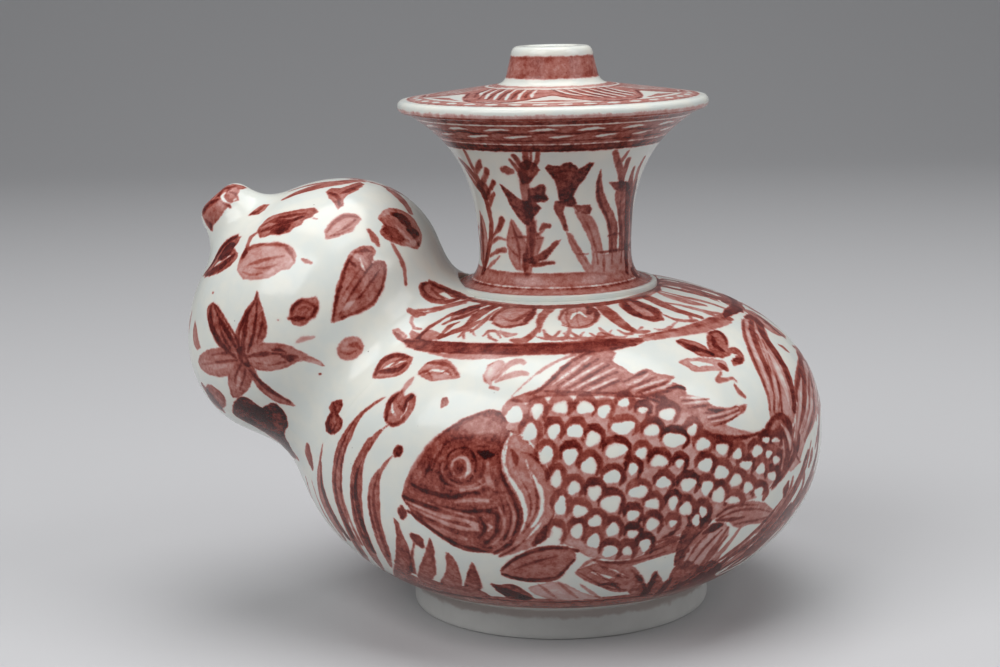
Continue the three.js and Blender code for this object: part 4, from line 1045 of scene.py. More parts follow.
def cubic(start, pull, push, end):
    t = np.linspace(0, 1, FLARE_POINTS)[:, None]
    first = (1 - t) ** 3 * np.array(start) + 3 * t * (1 - t) ** 2 * np.array(pull)
    return first + 3 * t * t * (1 - t) * np.array(push) + t**3 * np.array(end)


def straight(start, end):
    return np.array([start, end], float)


def evenly(run, spacing):
    """The same run of (radius, height) points, spaced evenly along it."""
    steps = np.r_[0, np.cumsum(np.linalg.norm(np.diff(run, axis=0), axis=1))]
    count = max(int(round(steps[-1] / spacing)), 1)
    places = np.linspace(0, steps[-1], count + 1)
    return np.column_stack([np.interp(places, steps, run[:, k]) for k in (0, 1)])


def belly_run(low, high, shrink=0):
    """The belly's outline between two heights above or below its widest line, shrunk for the inside."""
    rise, power = (CROWN_RISE, CROWN_POWER) if high > 0 else (KEEL_DROP, KEEL_POWER)
    heights = np.linspace(low, high, BELLY_POINTS)
    radii = (BELLY_RADIUS - shrink) * superellipse(np.abs(heights) / (rise - shrink), power)
    return np.column_stack([radii, BELLY_HEIGHT + heights])


def set_points(piece, points):
    """Puts the piece's vertices at points given in millimetres from the pot's axis."""
    places = (np.asarray(points) + [AXIS, 0, 0]) * MM
    piece.data.vertices.foreach_set("co", places.astype(np.float32).ravel())
    piece.data.update()


def points_of(piece):
    """The piece's vertices in millimetres from the pot's axis."""
    places = np.empty(len(piece.data.vertices) * 3, np.float32)
    piece.data.vertices.foreach_get("co", places)
    return places.reshape(-1, 3).astype(float) / MM - [AXIS, 0, 0]


def finish_mesh(piece, name):
    bpy.ops.mesh.select_all(action="SELECT")
    bpy.ops.mesh.remove_doubles(threshold=1e-6)
    bpy.ops.mesh.normals_make_consistent(inside=False)
    bpy.ops.object.mode_set(mode="OBJECT")
    bpy.ops.object.shade_smooth_by_angle(angle=math.radians(50))
    piece.name = name
    piece.data.name = name


def turned(name, outside, inside, spacing, around):
    """A turned piece: its wall's section is drawn on a ring of points and spun about the pot's axis."""
    outer = np.vstack([evenly(run, spacing)[: None if run is outside[-1] else -1] for run in outside])
    inner = np.vstack([evenly(run, spacing * 4) for run in inside])
    section = np.vstack([outer, inner])
    keep = np.r_[True, np.linalg.norm(np.diff(section, axis=0), axis=1) > 1e-4]
    section = section[keep]
    bpy.ops.object.select_all(action="DESELECT")
    bpy.ops.mesh.primitive_circle_add(vertices=len(section), radius=10 * MM)
    piece = bpy.context.object
    set_points(piece, np.column_stack([section[:, 0], np.zeros(len(section)), section[:, 1]]))
    bpy.ops.object.mode_set(mode="EDIT")
    bpy.ops.mesh.select_all(action="SELECT")
    turn = {"center": (AXIS * MM, 0, 0), "axis": (0, 0, 1), "angle": 2 * math.pi}
    bpy.ops.mesh.spin(steps=int(2 * math.pi * around / spacing), **turn)
    finish_mesh(piece, name)
    return piece


def make_foot():
    inner = FOOT_RADIUS - FOOT_WALL
    rounding = FOOT_ROUNDING
    outside = [
        quadratic((FOOT_RADIUS - rounding, 0), (FOOT_RADIUS, 0), (FOOT_RADIUS, rounding)),
        straight((FOOT_RADIUS, rounding), (FOOT_RADIUS, FOOT_HEIGHT)),
    ]
    inside = [
        straight((inner - rounding, FOOT_HEIGHT), (inner, rounding)),
        quadratic((inner, rounding), (inner, 0), (inner + rounding, 0)),
    ]
    return turned("glazed_foot", outside, inside, FOOT_SPACING, FOOT_RADIUS)


def make_lower_belly():
    low = FOOT_HEIGHT - BELLY_HEIGHT
    outside = [belly_run(low, 0)]
    inside = [
        belly_run(FLOOR_HEIGHT - BELLY_HEIGHT, 0, BODY_WALL)[::-1],
        straight((1.5, FLOOR_HEIGHT), (1.5, FOOT_HEIGHT)),
    ]
    return turned("lower_belly", outside, inside, BELLY_SPACING, BELLY_RADIUS)


def make_upper_belly():
    seat = SEAT_HEIGHT - BELLY_HEIGHT
    bore = NECK_WAIST_RADIUS - NECK_WALL
    crown = belly_run(0, seat)
    ceiling = belly_run(0, seat - BODY_WALL / 2, BODY_WALL)[::-1]
    ceiling = ceiling[ceiling[:, 0] > bore]
    outside = [crown, straight(crown[-1], (bore, SEAT_HEIGHT))]
    inside = [straight((bore, SEAT_HEIGHT), ceiling[0]), ceiling]
    return turned("upper_belly", outside, inside, BELLY_SPACING, BELLY_RADIUS)


def make_ledge():
    inner = NECK_BASE_RADIUS - NECK_WALL - 2
    corner = RING_RADIUS - RING_ROUNDING
    outside = [
        straight((RING_RADIUS, SEAT_HEIGHT), (RING_RADIUS, RING_TOP - RING_ROUNDING)),
        quadratic((RING_RADIUS, RING_TOP - RING_ROUNDING), (RING_RADIUS, RING_TOP), (corner, RING_TOP)),
        straight((corner, RING_TOP), (inner, RING_TOP)),
    ]
    inside = [straight((inner, RING_TOP), (inner, SEAT_HEIGHT))]
    return turned("shoulder_ledge", outside, inside, LEDGE_SPACING, RING_RADIUS)


def make_neck():
    lean = np.array([math.cos(TRUMPET_SLOPE), math.sin(TRUMPET_SLOPE)])
    waist = (NECK_WAIST_RADIUS, WAIST_HEIGHT)
    rim = np.array([TRUMPET_RADIUS, NECK_TOP])
    foot_pull = (NECK_WAIST_RADIUS, RING_TOP + NECK_FOOT_PULL)
    waist_pull = (NECK_WAIST_RADIUS, WAIST_HEIGHT + TRUMPET_UP_PULL)
    flare = cubic(waist, waist_pull, rim - TRUMPET_OUT_PULL * lean, rim)
    outside = [quadratic((NECK_BASE_RADIUS, RING_TOP), foot_pull, waist), flare]
    along = np.gradient(flare, axis=0)
    along /= np.linalg.norm(along, axis=1)[:, None]
    inner = flare + NECK_WALL * np.column_stack([-along[:, 1], along[:, 0]])
    inner = inner[inner[:, 1] < NECK_TOP][::-1]
    bore = NECK_WAIST_RADIUS - NECK_WALL
    mouth = (TRUMPET_RADIUS - 2 * NECK_WALL, NECK_TOP)
    inside = [straight(mouth, inner[0]), inner, straight(inner[-1], (bore, RING_TOP))]
    return turned("waisted_neck", outside, inside, NECK_SPACING, NECK_SPUN_AT)


def make_plate():
    half = LIP_THICKNESS / 2
    under = TRUMPET_RADIUS - 2 * NECK_WALL
    outside = [
        straight((under, NECK_TOP), (TRUMPET_RADIUS, NECK_TOP)),
        quadratic((TRUMPET_RADIUS, NECK_TOP), (PLATE_RADIUS, NECK_TOP), (PLATE_RADIUS, NECK_TOP + half)),
        quadratic((PLATE_RADIUS, NECK_TOP + half), (PLATE_RADIUS, LIP_TOP), (LIP_CROWN_RADIUS, LIP_TOP)),
        straight((LIP_CROWN_RADIUS, LIP_TOP), (COLLAR_FOOT_RADIUS, COLLAR_SEAT)),
        straight((COLLAR_FOOT_RADIUS, COLLAR_SEAT), (BORE_RADIUS, COLLAR_SEAT)),
    ]
    inside = [
        straight((BORE_RADIUS, COLLAR_SEAT), (BORE_RADIUS, COLLAR_SEAT - PLATE_THICKNESS)),
        straight((BORE_RADIUS, COLLAR_SEAT - PLATE_THICKNESS), (under, NECK_TOP)),
    ]
    return turned("mouth_cone", outside, inside, PLATE_SPACING, PLATE_RADIUS)


def make_collar():
    seat = (COLLAR_FOOT_RADIUS, COLLAR_SEAT)
    waist = (COLLAR_WAIST_RADIUS, COLLAR_SEAT + (MOUTH_HEIGHT - COLLAR_SEAT) / 3)
    shoulder = (COLLAR_SHOULDER_RADIUS, MOUTH_HEIGHT - COLLAR_SHOULDER)
    top = (COLLAR_TOP_RADIUS, MOUTH_HEIGHT)
    edge = (BORE_RADIUS + BORE_ROUNDING, MOUTH_HEIGHT)
    bore_top = (BORE_RADIUS, MOUTH_HEIGHT - BORE_ROUNDING)
    outside = [
        quadratic(seat, (COLLAR_WAIST_RADIUS + COLLAR_FOOT_FILLET, COLLAR_SEAT + COLLAR_FOOT_FILLET), waist),
        straight(waist, shoulder),
        quadratic(shoulder, (COLLAR_SHOULDER_RADIUS - COLLAR_SHOULDER_PULL, MOUTH_HEIGHT), top),
        straight(top, edge),
        quadratic(edge, (BORE_RADIUS, MOUTH_HEIGHT), bore_top),
    ]
    bore = [straight(bore_top, (BORE_RADIUS, COLLAR_SEAT))]
    return turned("mouth_collar_skin", outside, bore, COLLAR_SPACING, COLLAR_FOOT_RADIUS)


def spout_directions(turns, openings):
    """Directions from the skin's eye, opened from the tip's axis and turned about it."""
    across = np.array([0.0, 1.0, 0.0])
    up = np.cross(TIP_AXIS, across)
    side = np.cos(turns)[:, None] * across + np.sin(turns)[:, None] * up
    return np.cos(openings)[:, None] * TIP_AXIS + np.sin(openings)[:, None] * side


def skin_points(turns, openings):
    """Where rays from the eye leave the blended body."""
    rays = spout_directions(turns, openings)
    reach = np.full(len(turns), SKIN_START)
    for _ in range(SKIN_STEPS):
        reach -= SKIN_STRIDE * body_distance(SKIN_EYE + rays * reach[:, None])
    return SKIN_EYE + rays * reach[:, None]


def skin_edges(turns):
    """How far the spout's skin opens before it has run out on the belly or met the ledge."""
    openings = np.radians(np.arange(SKIN_NARROWEST, SKIN_WIDEST, 1.0))
    grid_turns, grid_openings = np.meshgrid(turns, openings, indexing="ij")
    points = skin_points(grid_turns.ravel(), grid_openings.ravel())
    on_belly = belly_distance(points) < SKIN_RUN_OUT
    at_ledge = np.hypot(points[:, 0], points[:, 1]) < RING_RADIUS - 1
    reached = (on_belly | at_ledge).reshape(grid_turns.shape)
    first = np.where(reached.any(1), reached.argmax(1), len(openings) - 1)
    edge = openings[first]
    beside = EDGE_WINDOW // 2
    wrapped = np.r_[edge[-beside:], edge, edge[:beside]]
    return np.convolve(wrapped, np.ones(EDGE_WINDOW) / EDGE_WINDOW, "valid")


def seam_openings(turns):
    """How far each direction opens where the skin crosses the nipple's seam."""
    low, high = np.zeros(len(turns)), np.full(len(turns), SEAM_WIDEST)
    for _ in range(SEAM_HALVINGS):
        middle = (low + high) / 2
        above = (skin_points(turns, middle) - BULB_CENTRE) @ TIP_AXIS > TIP_SEAM
        low, high = np.where(above, middle, low), np.where(above, high, middle)
    return low


def inset_skin(turns, openings):
    """The skin's points, drawn in a hair so that the drawn skin stays within the solid's box."""
    points = skin_points(turns, openings)
    inset = SKIN_INSET * np.clip((INSET_UNTIL - openings) / INSET_FADE, 0, 1)
    return points + inset[:, None] * (SKIN_EYE - points) / np.linalg.norm(points - SKIN_EYE, axis=1)[:, None]


def all_round(turns, fine, values):
    """Values known at evenly spaced turns, read at any turns."""
    return np.interp(turns, np.r_[fine, math.pi], np.r_[values, values[:1]])


def make_bulb():
    """The spout's skin: a sphere whose rings are opened out on to the blended body.
    Its last rings sink under the belly, and close inside it."""
    bpy.ops.object.select_all(action="DESELECT")
    bpy.ops.mesh.primitive_uv_sphere_add(segments=BULB_TURNS, ring_count=BULB_RINGS, radius=BULB_ACROSS * MM)
    piece = bpy.context.object
    start = points_of(piece)
    centre = start.mean(0)
    polar = np.arccos(np.clip((start - centre)[:, 2] / BULB_ACROSS, -1, 1))
    ring = np.rint(polar / math.pi * BULB_RINGS).astype(int)
    turns = np.arctan2(start[:, 1] - centre[1], start[:, 0] - centre[0])
    fine = np.linspace(-math.pi, math.pi, EDGE_TURNS)[:-1]
    edge = skin_edges(fine)
    edges = all_round(turns, fine, edge)
    skin_rings = BULB_RINGS - 3
    seams = all_round(turns, fine, seam_openings(fine))
    share = np.clip((ring - SEAM_RING) / (skin_rings - SEAM_RING), 0, 1)
    openings = np.where(ring <= SEAM_RING, seams * ring / SEAM_RING, seams + (edges - seams) * share)
    points = inset_skin(turns, openings)
    along, across = along_and_across(points, TIP_AXIS)
    points -= np.maximum(along - TIP_SEAM, 0)[:, None] * TIP_AXIS
    points -= np.where(across < TIP_BORE, TIP_BORE_DEPTH - TIP_LENGTH, 0)[:, None] * TIP_AXIS
    inward = SKIN_EYE - points
    inward /= np.linalg.norm(inward, axis=1)[:, None]
    left_over = np.maximum(belly_distance(skin_points(fine, edge)) - SKIN_PROUD, 0) * (np.sin(fine) > 0)
    run_out = np.clip((share - EASE_FROM) / EASE_OVER, 0, 1)
    drop = all_round(turns, fine, left_over) * run_out * run_out * (3 - 2 * run_out)
    points += inward * drop[:, None] * EASE_DEPTH
    sink = np.interp(ring - skin_rings, SINK_RINGS, SINK_DEPTHS)
    points += inward * sink[:, None]
    points[ring == BULB_RINGS] = SKIN_EYE + BULB_CORE * TIP_AXIS
    set_points(piece, points)
    bpy.ops.object.mode_set(mode="EDIT")
    finish_mesh(piece, "spout_bulb_skin")
    return piece


def make_tip():
    """The nipple: a ring of sections, each up the traced skin, over the lip and down the bore."""
    mouth_opening = math.atan((TIP_BORE + 1) / (TIP_REACH + BULB_ALONG))
    bpy.ops.object.select_all(action="DESELECT")
    bpy.ops.mesh.primitive_torus_add(major_segments=TIP_TURNS, minor_segments=TIP_SECTION)
    piece = bpy.context.object
    count = np.arange(TIP_TURNS * TIP_SECTION)
    turns = count // TIP_SECTION * 2 * math.pi / TIP_TURNS
    place = count % TIP_SECTION
    share = np.minimum(place / (TIP_SECTION - TIP_MOUTH_STEPS), 1)
    outer = inset_skin(turns, seam_openings(turns) * (1 - share) + mouth_opening * share)
    along, across = along_and_across(outer, TIP_AXIS)
    spoke = outer - BULB_CENTRE - along[:, None] * TIP_AXIS
    spoke /= across[:, None]
    bore = place - (TIP_SECTION - TIP_MOUTH_STEPS)
    radius = np.interp(bore, MOUTH_PLACES, MOUTH_FLARE) + TIP_BORE
    depth = np.interp(bore, MOUTH_PLACES, MOUTH_DEPTHS)
    walls = BULB_CENTRE + (TIP_REACH - depth)[:, None] * TIP_AXIS + radius[:, None] * spoke
    set_points(piece, np.where(bore[:, None] > 0, walls, outer))
    bpy.ops.object.mode_set(mode="EDIT")
    finish_mesh(piece, "spout_nipple")
    return piece


def view_axes():
    """The camera's right, up and forward directions."""
    level = math.cos(VIEW_PITCH)
    forward = np.array([math.sin(VIEW_YAW) * level, math.cos(VIEW_YAW) * level, -math.sin(VIEW_PITCH)])
    right = np.array([math.cos(VIEW_YAW), -math.sin(VIEW_YAW), 0])
    up = np.cross(right, forward)
    turned_right = right * math.cos(VIEW_ROLL) + up * math.sin(VIEW_ROLL)
    turned_up = up * math.cos(VIEW_ROLL) - right * math.sin(VIEW_ROLL)
    return turned_right, turned_up, forward


RIGHT, UP, FORWARD = view_axes()
EYE = np.array([0, -VIEW_DISTANCE, VIEW_HEIGHT])


def seen_at(points):
    """Where points show in the picture, in pixels, and how many pixels a millimetre covers there."""
    out = points - EYE
    depth = out @ FORWARD
    across = FRAME_WIDTH / 2 + FOCAL_PIXELS * (out @ RIGHT) / depth
    down = FRAME_HEIGHT / 2 - FOCAL_PIXELS * (out @ UP) / depth
    return np.column_stack([across, down]), FOCAL_PIXELS / depth


def smooth_line(points, closed=False):
    """A smooth line through the points, as a brush would draw it, with a point every few pixels or
    millimetres, whichever the points are given in."""
    points = np.asarray(points, float)
    if closed:
        ends = np.vstack([points[-1:], points, points[:2]])
    else:
        ends = np.vstack([2 * points[0] - points[1], points, 2 * points[-1] - points[-2]])
    line = []
    for before, start, end, after in zip(ends, ends[1:], ends[2:], ends[3:]):
        count = max(int(np.linalg.norm(end - start) / LINE_STEP), 1)
        t = (np.arange(count) / count)[:, None]
        pull = end - before
        push = after - start
        curve = start + t * pull / 2 + t * t * (3 * (end - start) - pull - push / 2)
        line.append(curve + t**3 * (2 * (start - end) + pull / 2 + push / 2))
    if not closed:
        line.append(ends[-2:-1])
    return np.vstack(line)


class Canvas:
    """One painted surface: the pieces that share it, and the brush marks cast on it.
    Bands that run all round the pot are (tone, radius, height, half their width)."""

    def __init__(self, *pieces, two_sided=True):
        self.two_sided = two_sided
        self.lines = []
        self.washes = []
        self.spared = []
        self.thinned = []
        self.ovals = []
        self.line_rings = []
        self.wash_rings = []
        points, faces = [], []
        for piece in pieces:
            shift = len(points)
            points.extend(points_of(piece))
            faces.extend([shift + k for k in face.vertices] for face in piece.data.polygons)
        self.surface = BVHTree.FromPolygons(points, faces)

    def cast(self, pixels):
        """Where the surface shows at these pixels of the picture; past its edge, the nearest place on it."""
        places = []
        for across, down in pixels:
            ray = FORWARD + RIGHT * (across - FRAME_WIDTH / 2) / FOCAL_PIXELS
            ray -= UP * (down - FRAME_HEIGHT / 2) / FOCAL_PIXELS
            hit = self.surface.ray_cast(Vector(EYE), Vector(ray))[0]
            if hit is None:
                reach = EYE + ray * (VIEW_DISTANCE - FORWARD[1])
                hit = self.surface.find_nearest(Vector(reach))[0]
            places.append(hit)
        return np.array(places)

    def stroke(self, widths, points):
        """A brush stroke's middle line on the surface, and half its width there, seen slanting or not."""
        pixels = smooth_line(np.reshape(points, (-1, 2)))
        places = self.cast(pixels)
        spread = np.linspace(0, 1, len(pixels))
        half = np.interp(spread, np.linspace(0, 1, len(widths)), widths) / 2
        along = np.gradient(pixels, axis=0)
        along /= np.linalg.norm(along, axis=1)[:, None] + 1e-9
        aside = np.column_stack([-along[:, 1], along[:, 0]]) * half[:, None]
        edges = self.cast(pixels + aside) - self.cast(pixels - aside)
        flat = half / seen_at(places)[1]
        return places, np.clip(np.linalg.norm(edges, axis=1) / 2, flat, flat * SLANT_LIMIT)

    def line(self, tone, widths, points):
        self.lines.append((tone, *self.stroke(widths, points)))

    def spare(self, widths, points):
        self.spared.append((1, *self.stroke(widths, points)))

    def thin(self, share, widths, points):
        """A stroke where a share of the paint is missing."""
        self.thinned.append((share, *self.stroke(widths, points)))

    def wash(self, tone, points):
        pixels = smooth_line(np.reshape(points, (-1, 2)), closed=True)
        self.washes.append((tone, pixels, self.cast(pixels)))

    def spare_oval(self, across, down, half_width, half_height, unevenness):
        """A bare place like a leaning oval, swollen unevenly as a brush leaves it."""
        turn = np.linspace(0, 2 * math.pi, 21)[:-1]
        swell = 0.99 + 0.13 * np.cos(2 * turn + 0.9 + 0.8 * math.sin(1.7 * unevenness))
        swell += 0.11 * np.sin(3 * turn + 2.4 * unevenness)
        pixels = np.column_stack([
            across + half_width * swell * np.cos(turn),
            down + half_height * swell * np.sin(turn),
        ])
        self.ovals.append((1, pixels, self.cast(pixels)))

    def trace(self, tone, half_widths, places, spared=False):
        """A stroke through places given in millimetres on or near the surface."""
        places = smooth_line(places)
        places = np.array([self.surface.find_nearest(Vector(place))[0] for place in places])
        spread = np.linspace(0, 1, len(places))
        half = np.interp(spread, np.linspace(0, 1, len(half_widths)), half_widths)
        (self.spared if spared else self.lines).append((tone, places, half))

    def one_side(self, points, facing):
        ink, ink_tone = stroke_field(points, self.lines)
        wash, wash_tone = wash_field(points, facing, self.washes)
        for tone, radius, height, half in self.line_rings:
            ink, ink_tone = ring_field(points, radius, height, half, tone, ink, ink_tone)
        for tone, radius, height, half in self.wash_rings:
            wash, wash_tone = ring_field(points, radius, height, half, tone, wash, wash_tone)
        spared = stroke_field(points, self.spared)[0]
        ovals = wash_field(points, facing, self.ovals)[0]
        bare = np.minimum(spared, ovals)
        thinned, share = stroke_field(points, self.thinned)
        return np.maximum(ink, -ovals), ink_tone, np.maximum(wash, -bare), wash_tone, thinned, share

    def fields(self, piece):
        """The distances to the marks' edges and the marks' tones at the piece's points.
        A two-sided surface carries its marks again, mirrored, on the side away from the camera."""
        points = points_of(piece)
        normals = normals_of(piece)
        if not self.two_sided:
            return self.one_side(points, faces_camera(points, normals))
        result = [np.full(len(points), value) for value in (FAR, LINE_TONE, FAR, WASH_TONE, FAR, 0.0)]
        for side in (np.array([1, 1, 1]), np.array([1, -1, 1])):
            here = np.flatnonzero(points[:, 1] * side[1] < SIDE_OVERLAP)
            seen = points[here] * side
            found = self.one_side(seen, faces_camera(seen, normals[here] * side))
            for distance, tone in ((0, 1), (2, 3), (4, 5)):
                nearer = found[distance] < result[distance][here]
                result[distance][here[nearer]] = found[distance][nearer]
                result[tone][here[nearer]] = found[tone][nearer]
        return result


def ring_field(points, radius, height, half, tone, field, tones):
    """Adds a band that runs all round the pot to a field and its tones."""
    distance = np.hypot(np.hypot(points[:, 0], points[:, 1]) - radius, points[:, 2] - height) - half
    return np.minimum(field, distance), np.where(distance < np.minimum(field, RING_TONE_REACH), tone, tones)


def near_box(points, places):
    """Which points may feel a mark at these places."""
    low = places.min(0) - FAR
    high = places.max(0) + FAR
    return np.flatnonzero(((points > low) & (points < high)).all(1))


def line_distance(points, places, half):
    """How far points lie from the edge of a stroke, negative inside it."""
    best = np.full(len(points), FAR)
    for k in range(len(places) - 1):
        step = places[k + 1] - places[k]
        long = step @ step + 1e-9
        out = points - places[k]
        share = np.clip(out @ step / long, 0, 1)
        gap = np.linalg.norm(out - share[:, None] * step, axis=1)
        np.minimum(best, gap - half[k] - share * (half[k + 1] - half[k]), out=best)
    return best


def stroke_field(points, marks):
    field = np.full(len(points), FAR)
    tones = np.full(len(points), LINE_TONE)
    for tone, places, half in marks:
        near = near_box(points, places)
        if len(near) == 0:
            continue
        distance = line_distance(points[near], places, half)
        nearer = distance < field[near]
        field[near[nearer]] = distance[nearer]
        tones[near[nearer]] = tone
    return field, tones


def inside_outline(pixels, outline):
    """Which pixels lie inside a closed outline."""
    inside = np.zeros(len(pixels), bool)
    for a, b in zip(outline, np.roll(outline, -1, axis=0)):
        crosses = (a[1] > pixels[:, 1]) != (b[1] > pixels[:, 1])
        if crosses.any():
            at = a[0] + (pixels[:, 1] - a[1]) * (b[0] - a[0]) / (b[1] - a[1] + 1e-12)
            inside ^= crosses & (pixels[:, 0] < at)
    return inside


def wash_field(points, facing, marks):
    field = np.full(len(points), FAR)
    tones = np.full(len(points), WASH_TONE)
    pixels = seen_at(points)[0]
    for tone, outline, places in marks:
        near = near_box(points, places)
        if len(near) == 0:
            continue
        closed = np.vstack([places, places[:1]])
        distance = line_distance(points[near], closed, np.zeros(len(closed)))
        inside = inside_outline(pixels[near], outline) & facing[near]
        distance = np.where(inside, -distance, distance)
        nearer = (distance < field[near]) | inside
        tones[near[nearer]] = tone
        field[near] = np.minimum(field[near], distance)
    return field, tones


def normals_of(piece):
    normals = np.empty(len(piece.data.vertices) * 3, np.float32)
    piece.data.vertex_normals.foreach_get("vector", normals)
    return normals.reshape(-1, 3).astype(float)


def faces_camera(points, normals):
    return (normals * (EYE - points)).sum(1) > 0


def triangles_of(piece):
    return sum(len(face.vertices) - 2 for face in piece.data.polygons)


def refine(piece, canvas, reach, far_lag):
    """Halves the faces that lie near the edge of a brush mark, nearest first, while the piece has room
    for more triangles. Places on the side away from the camera count as further off, by the lag."""
    ink, _, wash, _, thinned, _ = canvas.fields(piece)
    gap = np.minimum(np.minimum(np.abs(ink), np.abs(wash)), np.abs(thinned))
    gap += np.where(points_of(piece)[:, 1] > SIDE_OVERLAP, far_lag, 0)
    loops = np.empty(len(piece.data.loops), np.int32)
    piece.data.loops.foreach_get("vertex_index", loops)
    starts = np.empty(len(piece.data.polygons), np.int32)
    piece.data.polygons.foreach_get("loop_start", starts)
    gap = np.minimum.reduceat(gap[loops], starts)
    room = int((MOST_TRIANGLES - triangles_of(piece)) / TRIANGLES_A_CUT)
    chosen = np.zeros(len(starts), bool)
    chosen[np.argsort(gap, kind="stable")[:max(room, 0)]] = True
    chosen &= gap < reach
    bpy.ops.object.select_all(action="DESELECT")
    bpy.context.view_layer.objects.active = piece
    piece.select_set(True)
    bpy.ops.object.mode_set(mode="EDIT")
    bpy.ops.mesh.select_mode(type="FACE")
    bpy.ops.mesh.select_all(action="DESELECT")
    bpy.ops.object.mode_set(mode="OBJECT")
    piece.data.polygons.foreach_set("select", chosen)
    bpy.ops.object.mode_set(mode="EDIT")
    bpy.ops.mesh.subdivide(number_cuts=1)
    bpy.ops.object.mode_set(mode="OBJECT")


def paint(piece, canvas, reaches):
    """Refines a piece under its brush marks and stores the marks on its points."""
    for reach, far_lag in reaches:
        refine(piece, canvas, reach, far_lag)
    names = ("ink", "ink_tone", "wash", "wash_tone", "thinned", "thinned_by")
    for name, values in zip(names, canvas.fields(piece)):
        layer = piece.data.attributes.new(name, "FLOAT", "POINT")
        layer.data.foreach_set("value", values.astype(np.float32))
    print("painted", piece.name, triangles_of(piece), "triangles")


def brush(canvas, washes, lines, spared=(), strength=1.0):
    for tone, outline in washes:
        canvas.wash(tone * strength, outline)
    for tone, widths, points in lines:
        canvas.line(tone * strength, widths, points)
    for widths, points in spared:
        canvas.spare(widths, points)


def paint_scales(canvas):
    """The net of scales: each is a bare oval with a brushed arc over it. The arcs are darkest about the
    middle of the fish and palest along its back."""
    turn = np.radians(SCALE_ARC)
    for k, (across, down, half_width, half_height) in enumerate(SCALE_OVALS):
        canvas.spare_oval(across, down, half_width, half_height, k)
        arc = np.column_stack([
            across + (half_width + ARC_OUT_ACROSS) * np.cos(turn),
            down + (half_height + ARC_OUT_DOWN) * np.sin(turn),
        ])
        middle = math.exp(-(((across - DARKEST_ACROSS) / DARK_SPREAD) ** 2))
        tone = ARC_TONES[k % len(ARC_TONES)] * (0.84 + 0.2 * middle)
        tone *= np.interp(down, BACK_DOWN, [0.72, 1])
        canvas.line(tone, ARC_WIDTHS, arc)


def paint_body(canvas):
    brush(canvas, FISH_WASHES, FISH_LINES, FISH_SPARED)
    paint_scales(canvas)
    for share, widths, points in PALER_STROKES:
        canvas.thin(share, widths, points)
    brush(canvas, TAIL_WASHES, TAIL_LINES, (), 0.85)
    brush(canvas, WEED_WASHES, WEED_LINES, WEED_SPARED)
    brush(canvas, INSECT_WASHES, INSECT_LINES, INSECT_SPARED)
    brush(canvas, BLOSSOM_WASHES, BLOSSOM_LINES)
    brush(canvas, SHOULDER_WASHES, SHOULDER_LINES, SHOULDER_SPARED, 0.82)
    brush(canvas, SPOUT_WASHES, SPOUT_LINES, SPOUT_SPARED, 0.9)
    brush(canvas, HEM_WASHES, HEM_LINES, HEM_SPARED)
    canvas.wash_rings += [(0.6, 68.3, 17.2, 6.8)]
    canvas.line_rings += [(0.9, 70.6, 19.3, 0.45), (0.7, 64.6, 15.4, 0.3)]


def round_the_pot(turn, radius, height):
    """Places at turns in degrees about the pot's axis, with their radii and heights."""
    turn = np.radians(turn)
    height = np.broadcast_to(height, turn.shape)
    return np.column_stack([radius * np.cos(turn), radius * np.sin(turn), height])


def paint_neck(canvas):
    brush(canvas, NECK_WASHES, NECK_LINES, (), 0.97)
    canvas.wash_rings += [
        (0.86, 50.4, 177.0, 1.3),
        # The band under the lip: a copper-red wash, darkened past its own tone with painted shade under the
        # lip
        (0.63, 44.6, 172.5, 5.2),
        (0.92, 39.2, 167.6, 1.6),
        (0.5, 28.3, 120.9, 2.6),
        (0.46, 32.4, 117.6, 2.2),
    ]
    canvas.line_rings += [
        (0.85, 41.8, 170.2, 0.35),
        (0.95, 38.4, 166.6, 0.4),
        (0.8, 30.3, 118.2, 0.35),
    ]
    for k in range(SCROLLS):
        start = k * 360 / SCROLLS
        upper = round_the_pot(start + np.array([0, 4, 8, 12]), 46.5, [173.6, 174.7, 175.2, 174.6])
        canvas.trace(1, (0.2, 0.75, 0.65, 0.2), upper, spared=True)
        lower = round_the_pot(start + np.array([8, 12, 16, 20]), 43.5, [171.2, 171.4, 172.2, 172.6])
        canvas.trace(1, (0.2, 0.7, 0.5, 0.2), lower, spared=True)
        crest = round_the_pot(start + np.array([0, 5, 10, 15, 20]), 45, [172.0, 173.9, 173.8, 172.4, 172.9])
        canvas.trace(0.85, (0.2, 0.6, 0.7, 0.5, 0.2), crest)


def on_plate(turn, radius):
    """Places on the mouth cone at turns in degrees."""
    radius = np.asarray(radius, float)
    fall = np.interp(radius, [COLLAR_FOOT_RADIUS, LIP_CROWN_RADIUS], [COLLAR_SEAT, LIP_TOP])
    return round_the_pot(turn, radius, fall)


